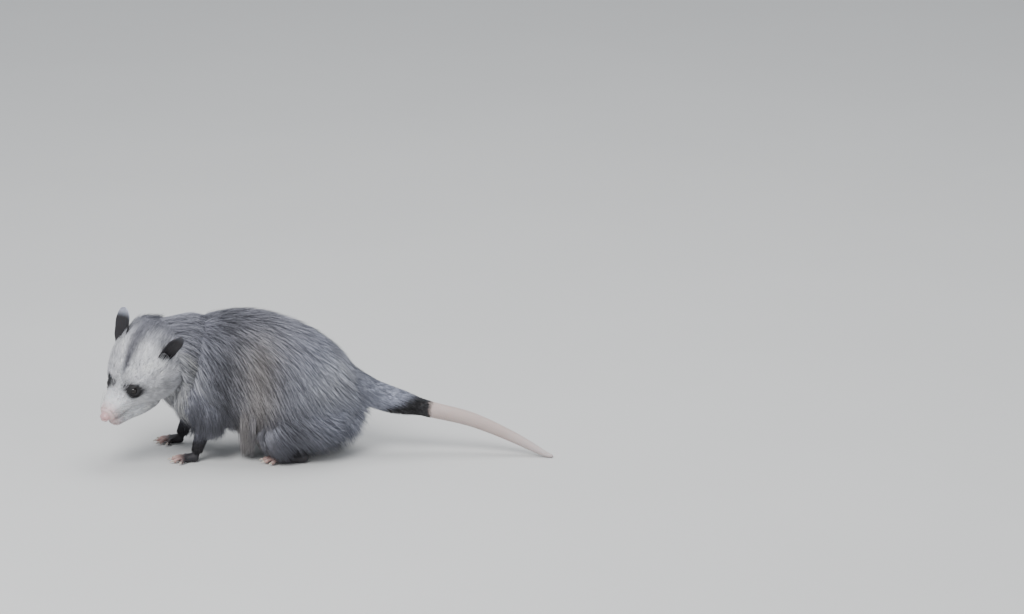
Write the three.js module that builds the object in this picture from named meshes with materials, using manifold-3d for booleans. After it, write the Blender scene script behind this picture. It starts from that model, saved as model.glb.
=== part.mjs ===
// A young adult Virginia opossum, life size, walking low with its head turned to its left.
// Millimetres, +Z up. The body points along -X and its left side faces -Y, so a view along +Y
// shows it facing left. The floor is at z = 0, and the finished model is moved so that the
// middle of its footprint is the origin.
import * as THREE from "three";
import { mergeVertices } from "three/addons/utils/BufferGeometryUtils.js";
import Module from "manifold-3d";

const wasm = await Module();
wasm.setup();

// Coat. The core of each furred form stands CORE over the skin, and the locks reach COAT over it.
const COAT = 14;
const CORE = 6;
const GAP = 0.3;
const COAT_GAP = 0.5;

// Head, measured from the nose tip: back, to its right, and up.
const HEAD_LENGTH = 136;
const HEAD_TURN = THREE.MathUtils.degToRad(46.5);
const HEAD_DROOP = THREE.MathUtils.degToRad(30);
const HEAD_TILT = THREE.MathUtils.degToRad(4);
const NOSE_TIP = [-157, -76, 70.5];
const EYE_RADIUS = 5.2;
const EYE_BACK = 45;
const EYE_ASIDE = 19.4;
const EYE_UP = 10;
const EAR_HEIGHT = 42;
const EAR_HALF_WIDTH = 15;

// Height at which the legs end and the feet begin.
const FOOT_TOP = 12.7;

const v3 = (x, y, z) => new THREE.Vector3(x, y, z);
const TURN = Math.PI * 2;

// A seeded draw between low and high, the same on every run.
let seed = 20;
function draw(low, high) {
  seed = (seed * 1664525 + 1013904223) % 4294967296;
  return low + ((high - low) * seed) / 4294967296;
}

// A smooth function through [where, value] stations that keeps its end values past both ends.
function through(...stations) {
  const last = stations.length - 1;
  const slope = (i) => {
    const [x0, y0] = stations[Math.max(i - 1, 0)];
    const [x1, y1] = stations[Math.min(i + 1, last)];
    return (y1 - y0) / (x1 - x0);
  };
  return (x) => {
    if (x <= stations[0][0]) return stations[0][1];
    if (x >= stations[last][0]) return stations[last][1];
    const i = stations.findIndex(([where]) => where > x) - 1;
    const [x0, y0] = stations[i];
    const [x1, y1] = stations[i + 1];
    const span = x1 - x0;
    const t = (x - x0) / span;
    const rise = t * t * (3 - 2 * t);
    const lead = t * (1 - t) * (1 - t) * span * slope(i);
    const trail = t * t * (t - 1) * span * slope(i + 1);
    return y0 + (y1 - y0) * rise + lead + trail;
  };
}

// A closed form round a curved line. across, above and below are its half sizes at a share of the
// line's length, square is its section's power, and blunt the share of it that rounds off each end.
function form({ line, sideways = [0, 1, 0], across, above, below = above, square = 2, blunt }) {
  const curve = new THREE.CatmullRomCurve3(line.map((p) => v3(...p)), false, "centripetal");
  const length = curve.getLength();
  const aside = v3(...sideways);
  if (curve.getTangentAt(0.5).cross(aside).z < 0) aside.negate();

  // The point at a share of the form's length and an angle round it, with the form grown by coat.
  function at(share, angle, coat = 0) {
    const along = share * (length + 2 * coat) - coat;
    const place = THREE.MathUtils.clamp(along / length, 0, 1);
    const ahead = curve.getTangentAt(place);
    const side = aside.clone().addScaledVector(ahead, -aside.dot(ahead)).normalize();
    const over = ahead.clone().cross(side);
    const near = Math.min(share / blunt[0], (1 - share) / blunt[1], 1);
    const round = Math.sqrt(Math.max(0, 1 - (1 - near) ** 2));
    const bend = (x) => Math.sign(x) * Math.abs(x) ** (2 / square);
    const height = Math.sin(angle) > 0 ? above(place) : below(place);
    return curve
      .getPointAt(place)
      .addScaledVector(ahead, along - place * length)
      .addScaledVector(side, (across(place) + coat) * round * bend(Math.cos(angle)))
      .addScaledVector(over, (height + coat) * round * bend(Math.sin(angle)));
  }

  // The outward direction there.
  function outward(share, angle) {
    const by = 0.01;
    const byShare = at(share + by, angle).sub(at(share - by, angle));
    const byAngle = at(share, angle + by).sub(at(share, angle - by));
    const out = byAngle.cross(byShare).normalize();
    const centre = at(share, angle).add(at(share, angle + Math.PI)).divideScalar(2);
    return out.dot(at(share, angle).sub(centre)) < 0 ? out.negate() : out;
  }
  const girth = TURN * Math.sqrt((across(0.5) ** 2 + above(0.5) ** 2) / 2);

  function geometry(rings, sides, coat = 0) {
    const points = [at(0, 0, coat)];
    for (let r = 1; r < rings; r++) {
      const even = r / rings;
      const share = 0.45 * even + 0.55 * (0.5 - 0.5 * Math.cos(Math.PI * even));
      for (let k = 0; k < sides; k++) points.push(at(share, (TURN * (k + 0.5)) / sides, coat));
    }
    points.push(at(1, 0, coat));
    return capped(points, sides);
  }
  return { at, outward, geometry, length, girth };
}

// A flat, tapered lock rooted on a form at a share and an angle. Its path leads `reach` along the
// form and `fall` round it, towards its underside where fall is positive, and rises from within the
// core to `tip` over the skin. Its end hangs `drop` lower, and it flies straight on past a form's end.
function lock(base, lie, extra = 0) {
  const { share, angle, reach, fall = 0, drop = 0, wide, tip, thick = 4, from = 1 } = lie;
  const steps = 3;
  const turnAt = (u) => angle - (Math.cos(angle) * fall * u) / (base.girth / TURN);
  const place = (u) => {
    const s = share + (reach * u) / base.length;
    const coat = from + (tip - from) * (1 - Math.max(0, 1 - u) ** 1.6);
    const edge = THREE.MathUtils.clamp(s, 0.05, 0.95);
    const here = base.at(edge, turnAt(u), coat);
    const ahead = here.clone().sub(base.at(edge - 0.02 * Math.sign(reach), turnAt(u), coat)).normalize();
    return here
      .addScaledVector(ahead, Math.abs(s - edge) * base.length)
      .add(v3(0, 0, -drop * Math.max(0, u) ** 1.5));
  };
  const headingAt = (u) => place(u + 0.05).sub(place(u - 0.05)).normalize();
  const half = 0.5;
  const s = THREE.MathUtils.clamp(share + (reach * half) / base.length, 0.06, 0.94);
  const aside = headingAt(half).cross(base.outward(s, turnAt(half))).normalize();
  const points = [];
  let behind = null;
  for (let i = 0; i <= steps; i++) {
    const u = i / steps;
    const here = place(u);
    const ahead = headingAt(u);
    const up = aside.clone().cross(ahead).normalize();
    const ridge = thick * (1 - 0.5 * u);
    const flare = 1 + (2.2 * extra) / ridge;
    const low = here.clone().addScaledVector(up, -extra);
    if (i === 0) points.push(low.clone().addScaledVector(ahead, -1 - extra));
    if (i === steps) {
      points.push(behind.lerp(low, flare));
      break;
    }
    const reachAside = (wide / 2) * [0.62, 1, 0.66][i] * flare;
    points.push(
      low.clone().addScaledVector(aside, reachAside),
      here.clone().addScaledVector(up, ridge + extra),
      low.clone().addScaledVector(aside, -reachAside),
    );
    behind = low;
  }
  return capped(points, 3);
}

// Locks in staggered rows over a form. spread gives each its lie at a share and an angle.
function coatOf(base, { shares, columns, angles = [0, TURN], spread }) {
  const [first, last, rows] = shares;
  const locks = [];
  for (let r = 0; r < rows; r++) {
    for (let c = 0; c < columns; c++) {
      const step = (angles[1] - angles[0]) / columns;
      const share = first + ((last - first) * (r + draw(-0.25, 0.25))) / Math.max(rows - 1, 1);
      const angle = angles[0] + step * (c + 0.5 * (r % 2) + 0.25 + draw(-0.2, 0.2));
      const lie = spread(share, angle, r, c);
      if (lie) locks.push({ base, share, angle, ...lie });
    }
  }
  return locks;
}
const lockSolids = (locks, extra = 0) =>
  locks.map(({ base, placed = (made) => made, ...lie }) => solid(placed(lock(base, lie, extra))));

// A closed surface from a first point, rings of `sides` points and a last point.
function capped(points, sides) {
  const faces = [];
  const last = points.length - 1;
  const rings = (points.length - 2) / sides;
  for (let k = 0; k < sides; k++) {
    const next = (k + 1) % sides;
    faces.push(0, 1 + next, 1 + k);
    for (let r = 0; r < rings - 1; r++) {
      const a = 1 + r * sides;
      faces.push(a + k, a + next, a + sides + next, a + k, a + sides + next, a + sides + k);
    }
    const end = 1 + (rings - 1) * sides;
    faces.push(end + k, end + next, last);
  }
  return new THREE.BufferGeometry().setFromPoints(points).setIndex(faces);
}

// A geometry as a solid, facing out.
function solid(geometry) {
  const bare = geometry.clone();
  bare.deleteAttribute("normal");
  bare.deleteAttribute("uv");
  const merged = mergeVertices(bare, 1e-4);
  const made = new wasm.Manifold(
    new wasm.Mesh({
      numProp: 3,
      vertProperties: merged.attributes.position.array,
      triVerts: new Uint32Array(merged.index.array),
    }),
  );
  if (made.volume() > 0) return made;
  const { index } = merged;
  for (let i = 0; i < index.count; i += 3) {
    const b = index.getX(i + 1);
    index.setX(i + 1, index.getX(i + 2));
    index.setX(i + 2, b);
  }
  return solid(merged);
}

function geometryOf(made) {
  const { numProp, vertProperties, triVerts } = made.getMesh();
  const count = vertProperties.length / numProp;
  const positions = new Float32Array(count * 3);
  for (let i = 0; i < count; i++) {
    positions.set(vertProperties.subarray(i * numProp, i * numProp + 3), i * 3);
  }
  return new THREE.BufferGeometry()
    .setAttribute("position", new THREE.BufferAttribute(positions, 3))
    .setIndex(new THREE.BufferAttribute(triVerts, 1));
}

// A geometry moved out along its normals, for cutting a neighbour clear of it.
function grown(geometry, by = GAP) {
  const bare = geometry.clone();
  bare.deleteAttribute("normal");
  bare.deleteAttribute("uv");
  const merged = mergeVertices(bare, 1e-4);
  merged.computeVertexNormals();
  const { position, normal } = merged.attributes;
  for (let i = 0; i < position.count; i++) {
    position.setXYZ(
      i,
      position.getX(i) + normal.getX(i) * by,
      position.getY(i) + normal.getY(i) * by,
      position.getZ(i) + normal.getZ(i) * by,
    );
  }
  merged.deleteAttribute("normal");
  return merged;
}

const union = (...pieces) => wasm.Manifold.union(pieces.flat());
const largest = (made) => made.decompose().reduce((a, b) => (a.volume() > b.volume() ? a : b));
const boxSolid = (low, high) =>
  solid(
    new THREE.BoxGeometry(...high.map((h, i) => h - low[i])).translate(
      ...high.map((h, i) => (h + low[i]) / 2),
    ),
  );

// Everything on the far side of a plane through a point, as a block of `size` facing `direction`.
function beyond(point, direction, size = 400) {
  const block = new THREE.BoxGeometry(size, size, size).translate(0, 0, size / 2);
  const turn = new THREE.Quaternion().setFromUnitVectors(v3(0, 0, 1), v3(...direction).normalize());
  return solid(block.applyQuaternion(turn).translate(...point));
}

// The head's own frame, and what is modelled in it.
const headPlace = new THREE.Matrix4().compose(
  v3(...NOSE_TIP),
  new THREE.Quaternion().setFromEuler(new THREE.Euler(HEAD_TILT, -HEAD_DROOP, HEAD_TURN, "ZYX")),
  v3(1, 1, 1),
);
const onHead = (geometry) => geometry.clone().applyMatrix4(headPlace);
const headPoint = (back, right, up) => v3(back, right, up).applyMatrix4(headPlace).toArray();

// Trunk, from the chest to the rump.
const trunk = form({
  line: [
    [-80, -4, 114], [-45, 0, 113], [14, 0, 108.5], [62, 0, 100.5],
    [103, 0, 88], [127, 0, 81], [150, 0, 76],
  ],
  across: through([0, 26], [0.15, 34], [0.4, 45], [0.65, 50], [0.85, 46], [1, 30]),
  above: through([0, 40], [0.15, 57], [0.4, 68], [0.6, 63], [0.78, 51], [0.9, 40], [1, 28]),
  below: through([0, 40], [0.15, 55], [0.4, 62], [0.65, 57], [0.85, 50], [1, 34]),
  square: 2.2,
  blunt: [0.2, 0.16],
});

// Neck, from inside the chest to inside the skull.
const neck = form({
  line: [[-36, -1, 120], [-58, -4, 126], [-80, -9, 131], [-104, -17, 134], [-120, -24, 132]],
  across: through([0, 34], [0.35, 31], [0.7, 30], [1, 26]),
  above: through([0, 54], [0.35, 52], [0.7, 40], [1, 28]),
  below: through([0, 48], [0.5, 46], [1, 34]),
  blunt: [0.3, 0.3],
});

// Chest, deep between the forelegs and hidden in the long fur that hangs from it.
const chest = form({
  line: [[-52, -6, 100], [-50, -10, 76], [-46, -12, 56]],
  across: through([0, 30], [0.5, 28], [1, 20]),
  above: through([0, 22], [0.5, 20], [1, 13]),
  blunt: [0.3, 0.35],
});

// Skull and muzzle, in the head's frame.
const skull = form({
  line: [[3, 0, -4], [22, 0, -2], [46, 0, 1], [78, 0, 5], [HEAD_LENGTH, 0, 9]],
  across: through(
    [0, 7], [0.07, 10.5], [0.17, 15], [0.25, 18.5], [0.34, 25.5],
    [0.44, 37], [0.55, 43], [0.66, 43], [0.76, 39], [1, 28],
  ),
  above: through(
    [0, 6.5], [0.07, 8.5], [0.17, 10.5], [0.25, 12.5], [0.34, 16.5],
    [0.44, 22.5], [0.55, 30.5], [0.65, 37], [0.75, 40.5], [1, 38],
  ),
  below: through([0, 6], [0.07, 8.5], [0.17, 11], [0.25, 14], [0.34, 20], [0.46, 28], [0.58, 32], [1, 30]),
  square: 2.6,
  blunt: [0.05, 0.08],
});
const jaw = form({
  line: [[9, 0, -17], [24, 0, -20], [48, 0, -23], [84, 0, -23]],
  across: through([0, 7.5], [0.3, 12], [0.6, 20], [1, 27]),
  above: through([0, 4.5], [1, 13]),
  below: through([0, 6.5], [0.3, 10], [0.6, 15], [1, 17]),
  blunt: [0.1, 0.3],
});

// Limbs, as lines of joints with the half thickness at each share of the length, and the thighs.
const limb = (line, radius) => form({ line, across: radius, above: radius, blunt: [0.2, 0.08] });
const thigh = (shift, y) =>
  form({
    line: [[136 + shift, y, 76], [100 + shift, y * 1.2, 66], [48 + shift, y * 1.25, 50]],
    across: through([0, 14], [0.5, 16], [1, 11]),
    above: through([0, 26], [0.5, 30], [1, 17]),
    below: through([0, 28], [0.5, 30], [1, 17]),
    blunt: [0.35, 0.3],
  });
const arm = (...line) => limb(line, through([0, 17], [0.35, 16], [0.6, 11], [0.85, 7.5], [1, 7]));
const shank = (...line) => limb(line, through([0, 15], [0.35, 14], [0.7, 9.5], [1, 8]));
const limbs = {
  fore_leg_left: [arm([-50, -17, 94], [-26, -36, 60], [-38, -38, 30], [-44, -38, 9])],
  fore_leg_right: [arm([-54, 17, 94], [-38, 36, 60], [-60, 36, 30], [-68, 36, 9])],
  hind_leg_left: [thigh(0, -33), shank([46, -42, 52], [62, -45, 34], [84, -45, 22], [90, -45, 10])],
  hind_leg_right: [thigh(12, 33), shank([60, 42, 52], [80, 45, 34], [104, 45, 22], [112, 45, 10])],
};

const materials = {
  coat: [0x8f9099, 0.95],
  face: [0xc9c9cf, 0.9],
  ear: [0x15151a, 0.6],
  skin: [0xc9a5a4, 0.6],
  nose: [0xd79f9f, 0.45],
  eye: [0x070608, 0.08],
  dark: [0x241f26, 0.6],
  tail: [0xd9cdc8, 0.65],
};
const shade = Object.fromEntries(
  Object.entries(materials).map(([name, [color, roughness]]) => [
    name,
    new THREE.MeshStandardMaterial({ name, color, roughness, metalness: 0 }),
  ]),
);

const opossum = new THREE.Group();
function add(name, made, material) {
  const mesh = new THREE.Mesh(geometryOf(largest(made)), shade[material]);
  mesh.name = name;
  opossum.add(mesh);
}

const floorCut = boxSolid([-300, -200, -60], [500, 200, 0]);

// Eyes, and the lids that close over them.
const eyeSphere = (side, extra) =>
  onHead(
    new THREE.SphereGeometry(EYE_RADIUS + extra, 12, 8).translate(EYE_BACK, side * EYE_ASIDE, EYE_UP),
  );

// Ears: a cupped blade on its root, alike on both faces. The near one is partly folded.
const ear = (side, root, axis, facing, opened = 1) => {
  const up = v3(...axis).normalize();
  const front = v3(...facing);
  front.addScaledVector(up, -front.dot(up)).normalize();
  const across = up.clone().cross(front);
  const rows = 8;
  const columns = 6;
  const width = through([0, 0.6], [0.15, 0.76], [0.35, 0.92], [0.55, 1], [0.78, 0.98], [0.93, 0.72], [1, 0.35]);
  const roll = through([0, 1.5], [0.4, 1.1], [1, 0.55]);
  const thickness = through([0, 2.6], [0.3, 1.5], [1, 0.9]);
  const place = (r, c, face) => {
    const rise = r / rows;
    const turn = ((2 * c) / columns - 1) * roll(rise);
    const half = EAR_HALF_WIDTH * opened * width(rise);
    const radius = half / Math.sin(Math.min(roll(rise), Math.PI / 2));
    const rim = c === 0 || c === columns ? 0.55 : 1;
    const off = (radius + (face * thickness(rise) * rim) / 2);
    return v3(...root)
      .addScaledVector(up, (EAR_HEIGHT + 9) * rise - 9 - 2.5 * rise * Math.abs(turn))
      .addScaledVector(across, side * off * Math.sin(turn))
      .addScaledVector(front, radius * 0.8 - off * Math.cos(turn));
  };
  const points = [];
  for (let r = 0; r <= rows; r++) {
    for (let c = 0; c <= columns; c++) points.push(place(r, c, 1), place(r, c, -1));
  }
  const id = (r, c, face) => 2 * (r * (columns + 1) + c) + face;
  const faces = [];
  const quad = (a, b, c, d) => faces.push(a, b, c, a, c, d);
  for (let r = 0; r < rows; r++) {
    for (let c = 0; c < columns; c++) {
      faces.push(id(r, c, 0), id(r, c + 1, 0), id(r + 1, c + 1, 0));
      faces.push(id(r, c, 0), id(r + 1, c + 1, 0), id(r + 1, c, 0));
      faces.push(id(r, c, 1), id(r + 1, c + 1, 1), id(r, c + 1, 1));
      faces.push(id(r, c, 1), id(r + 1, c, 1), id(r + 1, c + 1, 1));
    }
    quad(id(r, 0, 0), id(r + 1, 0, 0), id(r + 1, 0, 1), id(r, 0, 1));
    quad(id(r, columns, 0), id(r, columns, 1), id(r + 1, columns, 1), id(r + 1, columns, 0));
  }
  for (let c = 0; c < columns; c++) {
    quad(id(0, c, 0), id(0, c, 1), id(0, c + 1, 1), id(0, c + 1, 0));
    quad(id(rows, c, 0), id(rows, c + 1, 0), id(rows, c + 1, 1), id(rows, c, 1));
  }
  return onHead(new THREE.BufferGeometry().setFromPoints(points).setIndex(faces));
};
const ears = {
  ear_left: ear(1, [97, -36, 30], [0.34, -0.71, 0.62], [-0.58, -0.66, -0.48], 0.78),
  ear_right: ear(-1, [97, 32, 34], [0.5, 0.05, 0.86], [-0.9, 0.2, 0.1]),
};

// Tail, furred at its base and bare beyond, laid on the floor at its tip.
const tailRadius = through(
  [0, 18], [0.07, 17], [0.14, 14.5], [0.28, 12], [0.42, 10.4], [0.6, 9.4], [0.78, 7.4], [0.9, 5.6], [1, 2.6],
);
const tail = form({
  line: [
    [130, 0, 92], [153, 0, 89], [183, 0, 76], [212, 0, 67], [244, 0, 57.5],
    [300, -3, 44], [349, -9, 24.5], [376, -15, 12], [394, -22, 4.2], [405, -26, 1.6],
  ],
  across: tailRadius,
  above: tailRadius,
  blunt: [0.04, 0.02],
});

// The bare pad of the nose, with a nostril hollowed in each side.
const nose = form({
  line: [[-3, 0, -3.5], [0, 0, -3.8], [6, 0, -4]],
  across: through([0, 5.4], [0.5, 6.8], [1, 6]),
  above: through([0, 4], [0.5, 5.2], [1, 4.4]),
  blunt: [0.45, 0.3],
});
const nostrils = [-1, 1].map((side) =>
  onHead(
    form({
      line: [[-6, side * 5.4, -4.2], [-1, side * 3.4, -3.2], [1.6, side * 3.2, -2.6]],
      across: () => 1.5,
      above: () => 1.1,
      blunt: [0.2, 0.2],
    }).geometry(4, 6),
  ),
);

// A toe or finger with its claw.
function digit(root, tip, thick, claw) {
  const from = v3(...root);
  const to = v3(...tip);
  const along = to.clone().sub(from);
  const knuckle = from.clone().lerp(to, 0.5).add(v3(0, 0, 1.6));
  const toe = form({
    line: [root, knuckle.toArray(), tip],
    sideways: [-along.y, along.x, 0],
    across: through([0, thick], [0.55, thick * 0.82], [0.85, thick], [1, thick * 0.8]),
    above: through([0, thick], [0.55, thick * 0.85], [1, thick * 0.9]),
    blunt: [0.1, 0.16],
  }).geometry(5, 6);
  if (!claw) return [solid(toe)];
  const ahead = along.clone().setZ(0).normalize();
  const clawRoot = to.clone().addScaledVector(ahead, -2).add(v3(0, 0, 0.8));
  const clawTip = to.clone().addScaledVector(ahead, claw).add(v3(0, 0, -0.6));
  const clawTop = to.clone().addScaledVector(ahead, claw * 0.45).add(v3(0, 0, 1.2));
  const nail = form({
    line: [clawRoot.toArray(), clawTop.toArray(), clawTip.toArray()],
    sideways: [-along.y, along.x, 0],
    across: through([0, 1.2], [0.5, 1], [1, 0.35]),
    above: through([0, 1.4], [0.5, 1.1], [1, 0.35]),
    blunt: [0.05, 0.05],
  }).geometry(3, 4);
  return [solid(toe), solid(nail)];
}

// A foot seen from above: a pad from heel to ball, and digits given as [angle, length, claw length]
// from named roots across the ball. Angles turn away from straight ahead, towards the inner side.
function foot({ heel, length, half, height, inner, digits, thick }) {
  const [x, y, z] = heel;
  const pad = form({
    line: [[x, y, z], [x - length * 0.5, y, z], [x - length, y, z - 1]],
    across: through([0, half * 0.62], [0.5, half * 0.72], [1, half]),
    above: through([0, height], [1, height * 0.72]),
    below: () => z + 2,
    blunt: [0.2, 0.22],
  }).geometry(7, 10);
  const toes = digits.map(([share, angle, reach, claw]) => {
    const turn = THREE.MathUtils.degToRad(angle);
    const root = [x - length * share, y + inner * half * 0.62 * Math.sin(turn), z - 0.5];
    const tip = [
      root[0] - reach * Math.cos(turn),
      root[1] + inner * reach * Math.sin(turn),
      thick * 0.86,
    ];
    return digit(root, tip, thick, claw);
  });
  return union(solid(pad), toes.flat());
}
const foreDigits = [
  [0.72, 62, 12, 4], [0.9, 30, 15, 4.5], [0.96, 4, 16, 4.5], [0.92, -24, 15, 4.5], [0.76, -56, 12, 4],
];
const hindDigits = [
  [0.5, 98, 16, 0], [0.9, 26, 17, 4.5], [0.97, 5, 18, 4.5], [0.94, -16, 17, 4.5], [0.84, -40, 15, 4.5],
];
const foreFoot = { length: 20, half: 9.5, height: 6, digits: foreDigits, thick: 2.9 };
const hindFoot = { length: 42, half: 11, height: 7, digits: hindDigits, thick: 3.2 };
const feet = {
  fore_foot_left: foot({ ...foreFoot, heel: [-40, -41, 6], inner: 1 }),
  fore_foot_right: foot({ ...foreFoot, heel: [-64, 39, 6], inner: -1 }),
  hind_foot_left: foot({ ...hindFoot, heel: [98, -45, 7], inner: 1 }),
  hind_foot_right: foot({ ...hindFoot, heel: [120, 45, 7], inner: -1 }),
};

// Lids, a rim round each eye, and the lips either side of the line of the mouth.
const lids = [-1, 1].map((side) => {
  const rim = new THREE.TorusGeometry(EYE_RADIUS + 0.2, 1.8, 4, 12).scale(1.15, 0.92, 1);
  const looking = v3(-0.28, side, 0.36).normalize();
  rim.applyQuaternion(new THREE.Quaternion().setFromUnitVectors(v3(0, 0, 1), looking));
  return solid(onHead(rim.translate(EYE_BACK - 0.6, side * (EYE_ASIDE + 1.4), EYE_UP + 0.8)));
});
const alongMouth = (side, dip, radius) => {
  const angle = side > 0 ? -dip : Math.PI + dip;
  const line = [0.03, 0.1, 0.17, 0.24, 0.31].map((share) => skull.at(share, angle, 2.3).toArray());
  return solid(
    onHead(form({ line, across: () => radius, above: () => radius, blunt: [0.1, 0.1] }).geometry(7, 6)),
  );
};
const lips = [-1, 1].map((side) => alongMouth(side, 0.56, 1.7));
const mouthLines = [-1, 1].map((side) => alongMouth(side, 0.76, 0.9));

// Assembly. Each coat node is a core and the locks rooted on it, cut clear of the nodes before it.
const skullWhole = (extra = 0) => onHead(skull.geometry(18, 16, 2.5 + extra));
const jawWhole = (extra = 0) => onHead(jaw.geometry(9, 12, 1.5 + extra));
const cheekLock = (side) => (lie) => ({
  base: skull,
  placed: onHead,
  ...lie,
  angle: side > 0 ? lie.angle : Math.PI - lie.angle,
});
const cheekLies = [
  { share: 0.5, angle: -0.15, reach: 24, fall: 5, drop: 3, wide: 17, tip: 5.5, thick: 3, from: 0 },
  { share: 0.47, angle: -0.62, reach: 24, fall: 3, drop: 5, wide: 17, tip: 5.5, thick: 3, from: 0 },
  { share: 0.5, angle: -1.1, reach: 22, fall: 2, drop: 5, wide: 17, tip: 5, thick: 3, from: 0 },
];
const cheekLocks = [-1, 1].flatMap((side) => cheekLies.map(cheekLock(side)));
const headWhole = union(solid(skullWhole()), solid(jawWhole()), lids, lips, lockSolids(cheekLocks));
const headGrown = union(solid(skullWhole(GAP)), solid(jawWhole(GAP)), lockSolids(cheekLocks, COAT_GAP));
const eyesCut = union([-1, 1].map((side) => solid(eyeSphere(side, GAP))));
const tailForm = solid(tail.geometry(26, 12));
const tailGrown = solid(tail.geometry(26, 12, GAP));

// The planes where the nodes part: a point on each, and its direction.
const headBack = [headPoint(99, 0, 8), v3(...headPoint(1, 0, 0)).sub(v3(...NOSE_TIP)).toArray()];
const chestFront = [[-66, 0, 120], [1, -0.15, -0.15]];
const tailCuts = [
  [[186, 0, 75], [0.95, 0, -0.3]],
  [[246, 0, 57], [0.96, 0, -0.27]],
  [[330, -6, 34], [0.92, -0.1, -0.37]],
];

// The part of a solid behind a plane or beyond it, short of it by half the gap or over it by more.
function cut(made, [point, direction], keepBeyond, over = -GAP / 2) {
  const facing = v3(...direction).normalize();
  const sign = keepBeyond ? -1 : 1;
  const edge = v3(...point).addScaledVector(facing, sign * over);
  return made.subtract(beyond(edge.toArray(), facing.multiplyScalar(sign).toArray()));
}

// The coat's lie: back and down, with tips that stand COAT over the skin and hang under the flanks.
const sunk = (angle) => Math.max(0, -Math.sin(angle));
const coatSpread = (share, angle) => ({
  reach: draw(50, 60),
  fall: 26,
  drop: 4 + 14 * sunk(angle),
  wide: draw(36, 42),
  tip: COAT - 3 + 4 * sunk(angle) + draw(-1, 1),
});
const hanging = (drop, reach = 10) => () => ({
  reach,
  fall: 10,
  drop: drop + draw(-3, 3),
  wide: draw(34, 40),
  tip: COAT,
});
const nearFlank = -2.42;
const farFlank = -0.72;
const nearBelly = -2.05;
const farBelly = -1.09;
const row = (base, first, last, count, angle, spread) =>
  coatOf(base, { shares: [first, last, count], columns: 1, angles: [angle, angle + 0.02], spread });
const lockSets = {
  neck: coatOf(neck, {
    shares: [0.72, 0.42, 2],
    columns: 7,
    spread: () => ({ reach: -draw(36, 42), fall: 8, drop: 3, wide: 27, tip: COAT * 0.6 }),
  }),
  torso: [
    ...coatOf(trunk, {
      shares: [0.14, 0.88, 5],
      columns: 7,
      angles: [-0.5, Math.PI + 0.5],
      spread: coatSpread,
    }),
    ...[nearFlank, farFlank].flatMap((side) => row(trunk, 0.17, 0.8, 6, side, hanging(26))),
    ...[nearBelly, farBelly].flatMap((side) => row(trunk, 0.18, 0.7, 3, side, hanging(12, 20))),
    ...[nearBelly, farBelly].map((angle) => ({ ...hanging(8, 16)(), base: trunk, share: 0.86, angle })),
    { ...hanging(44, 4)(), base: trunk, share: 0.45, angle: nearFlank },
    ...coatOf(chest, {
      shares: [0.5, 0.5, 1],
      columns: 5,
      spread: () => ({ reach: draw(34, 38), wide: 25, tip: COAT * 0.6, thick: 3 }),
    }),
  ],
  tail_base: coatOf(tail, {
    shares: [0.1, 0.19, 2],
    columns: 3,
    spread: () => ({ reach: draw(26, 32), wide: 18, tip: 4, thick: 2.5, from: -1 }),
  }),
};
const thighLie = () => ({
  reach: -draw(36, 44),
  fall: 4,
  drop: draw(12, 16),
  wide: 26,
  tip: COAT * 0.7,
  thick: 3,
});
const armLie = () => ({ reach: draw(24, 30), wide: 17, tip: COAT * 0.7, thick: 3 });
const legLocks = (name, base) => {
  if (name.startsWith("fore")) {
    return coatOf(base, { shares: [0.34, 0.34, 1], columns: 4, spread: armLie });
  }
  const outward = name.endsWith("left") ? 0 : Math.PI;
  const angles = [outward - 0.8, outward + 0.8];
  return coatOf(base, { shares: [0.35, 0.85, 2], columns: 2, angles, spread: thighLie });
};

// What the nodes made so far take up, with their gap.
const taken = [];
function coatNode(name, core, coreGrown, locks) {
  add(name, union(core, lockSolids(locks)).subtract(union(taken)), "coat");
  taken.push(union(coreGrown, lockSolids(locks, COAT_GAP)));
}

const noseForm = onHead(nose.geometry(7, 12));
const headSolid = headWhole.subtract(union(eyesCut, solid(grown(noseForm)), mouthLines));
taken.push(cut(headGrown, headBack, false, GAP / 2));
add("head", cut(headSolid, headBack, false), "face");
add("nose", solid(noseForm).subtract(union(nostrils.map(solid))), "nose");
[["eye_left", -1], ["eye_right", 1]].forEach(([name, side]) => add(name, solid(eyeSphere(side, 0)), "eye"));
Object.entries(ears).forEach(([name, geometry]) => {
  add(name, solid(geometry).subtract(headGrown), "ear");
  taken.push(solid(grown(geometry)));
});
const body = (extra) =>
  union(
    solid(neck.geometry(9, 16, CORE * 0.6 + extra)),
    solid(trunk.geometry(12, 18, CORE + extra)),
    solid(chest.geometry(8, 14, CORE + extra)),
  );
coatNode(
  "neck",
  cut(cut(body(0), headBack, true), chestFront, false),
  cut(cut(body(COAT_GAP), headBack, true, GAP / 2), chestFront, false, GAP / 2),
  lockSets.neck,
);
coatNode(
  "torso",
  cut(body(0), chestFront, true),
  cut(body(COAT_GAP), chestFront, true, GAP / 2),
  lockSets.torso,
);
const aboveFeet = boxSolid([-300, -200, -60], [500, 200, FOOT_TOP + GAP]);
for (const [name, pieces] of Object.entries(limbs)) {
  const whole = union(pieces.map((piece) => solid(piece.geometry(8, 10, 4))));
  const wholeGrown = union(pieces.map((piece) => solid(piece.geometry(8, 10, 4 + COAT_GAP))));
  const locks = legLocks(name, pieces[0]);
  coatNode(name, whole.subtract(aboveFeet), wholeGrown.subtract(aboveFeet), locks);
}
Object.entries(feet).forEach(([name, made]) => {
  add(name, made.subtract(floorCut).subtract(boxSolid([-300, -200, FOOT_TOP], [500, 200, 60])), "skin");
});
const tailPiece = (made, first, last) => {
  const from = first < 0 ? made : cut(made, tailCuts[first], true);
  return last < tailCuts.length ? cut(from, tailCuts[last], false) : from;
};
coatNode("tail_base", tailPiece(tailForm, -1, 0), tailPiece(tailGrown, -1, 0), lockSets.tail_base);
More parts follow.
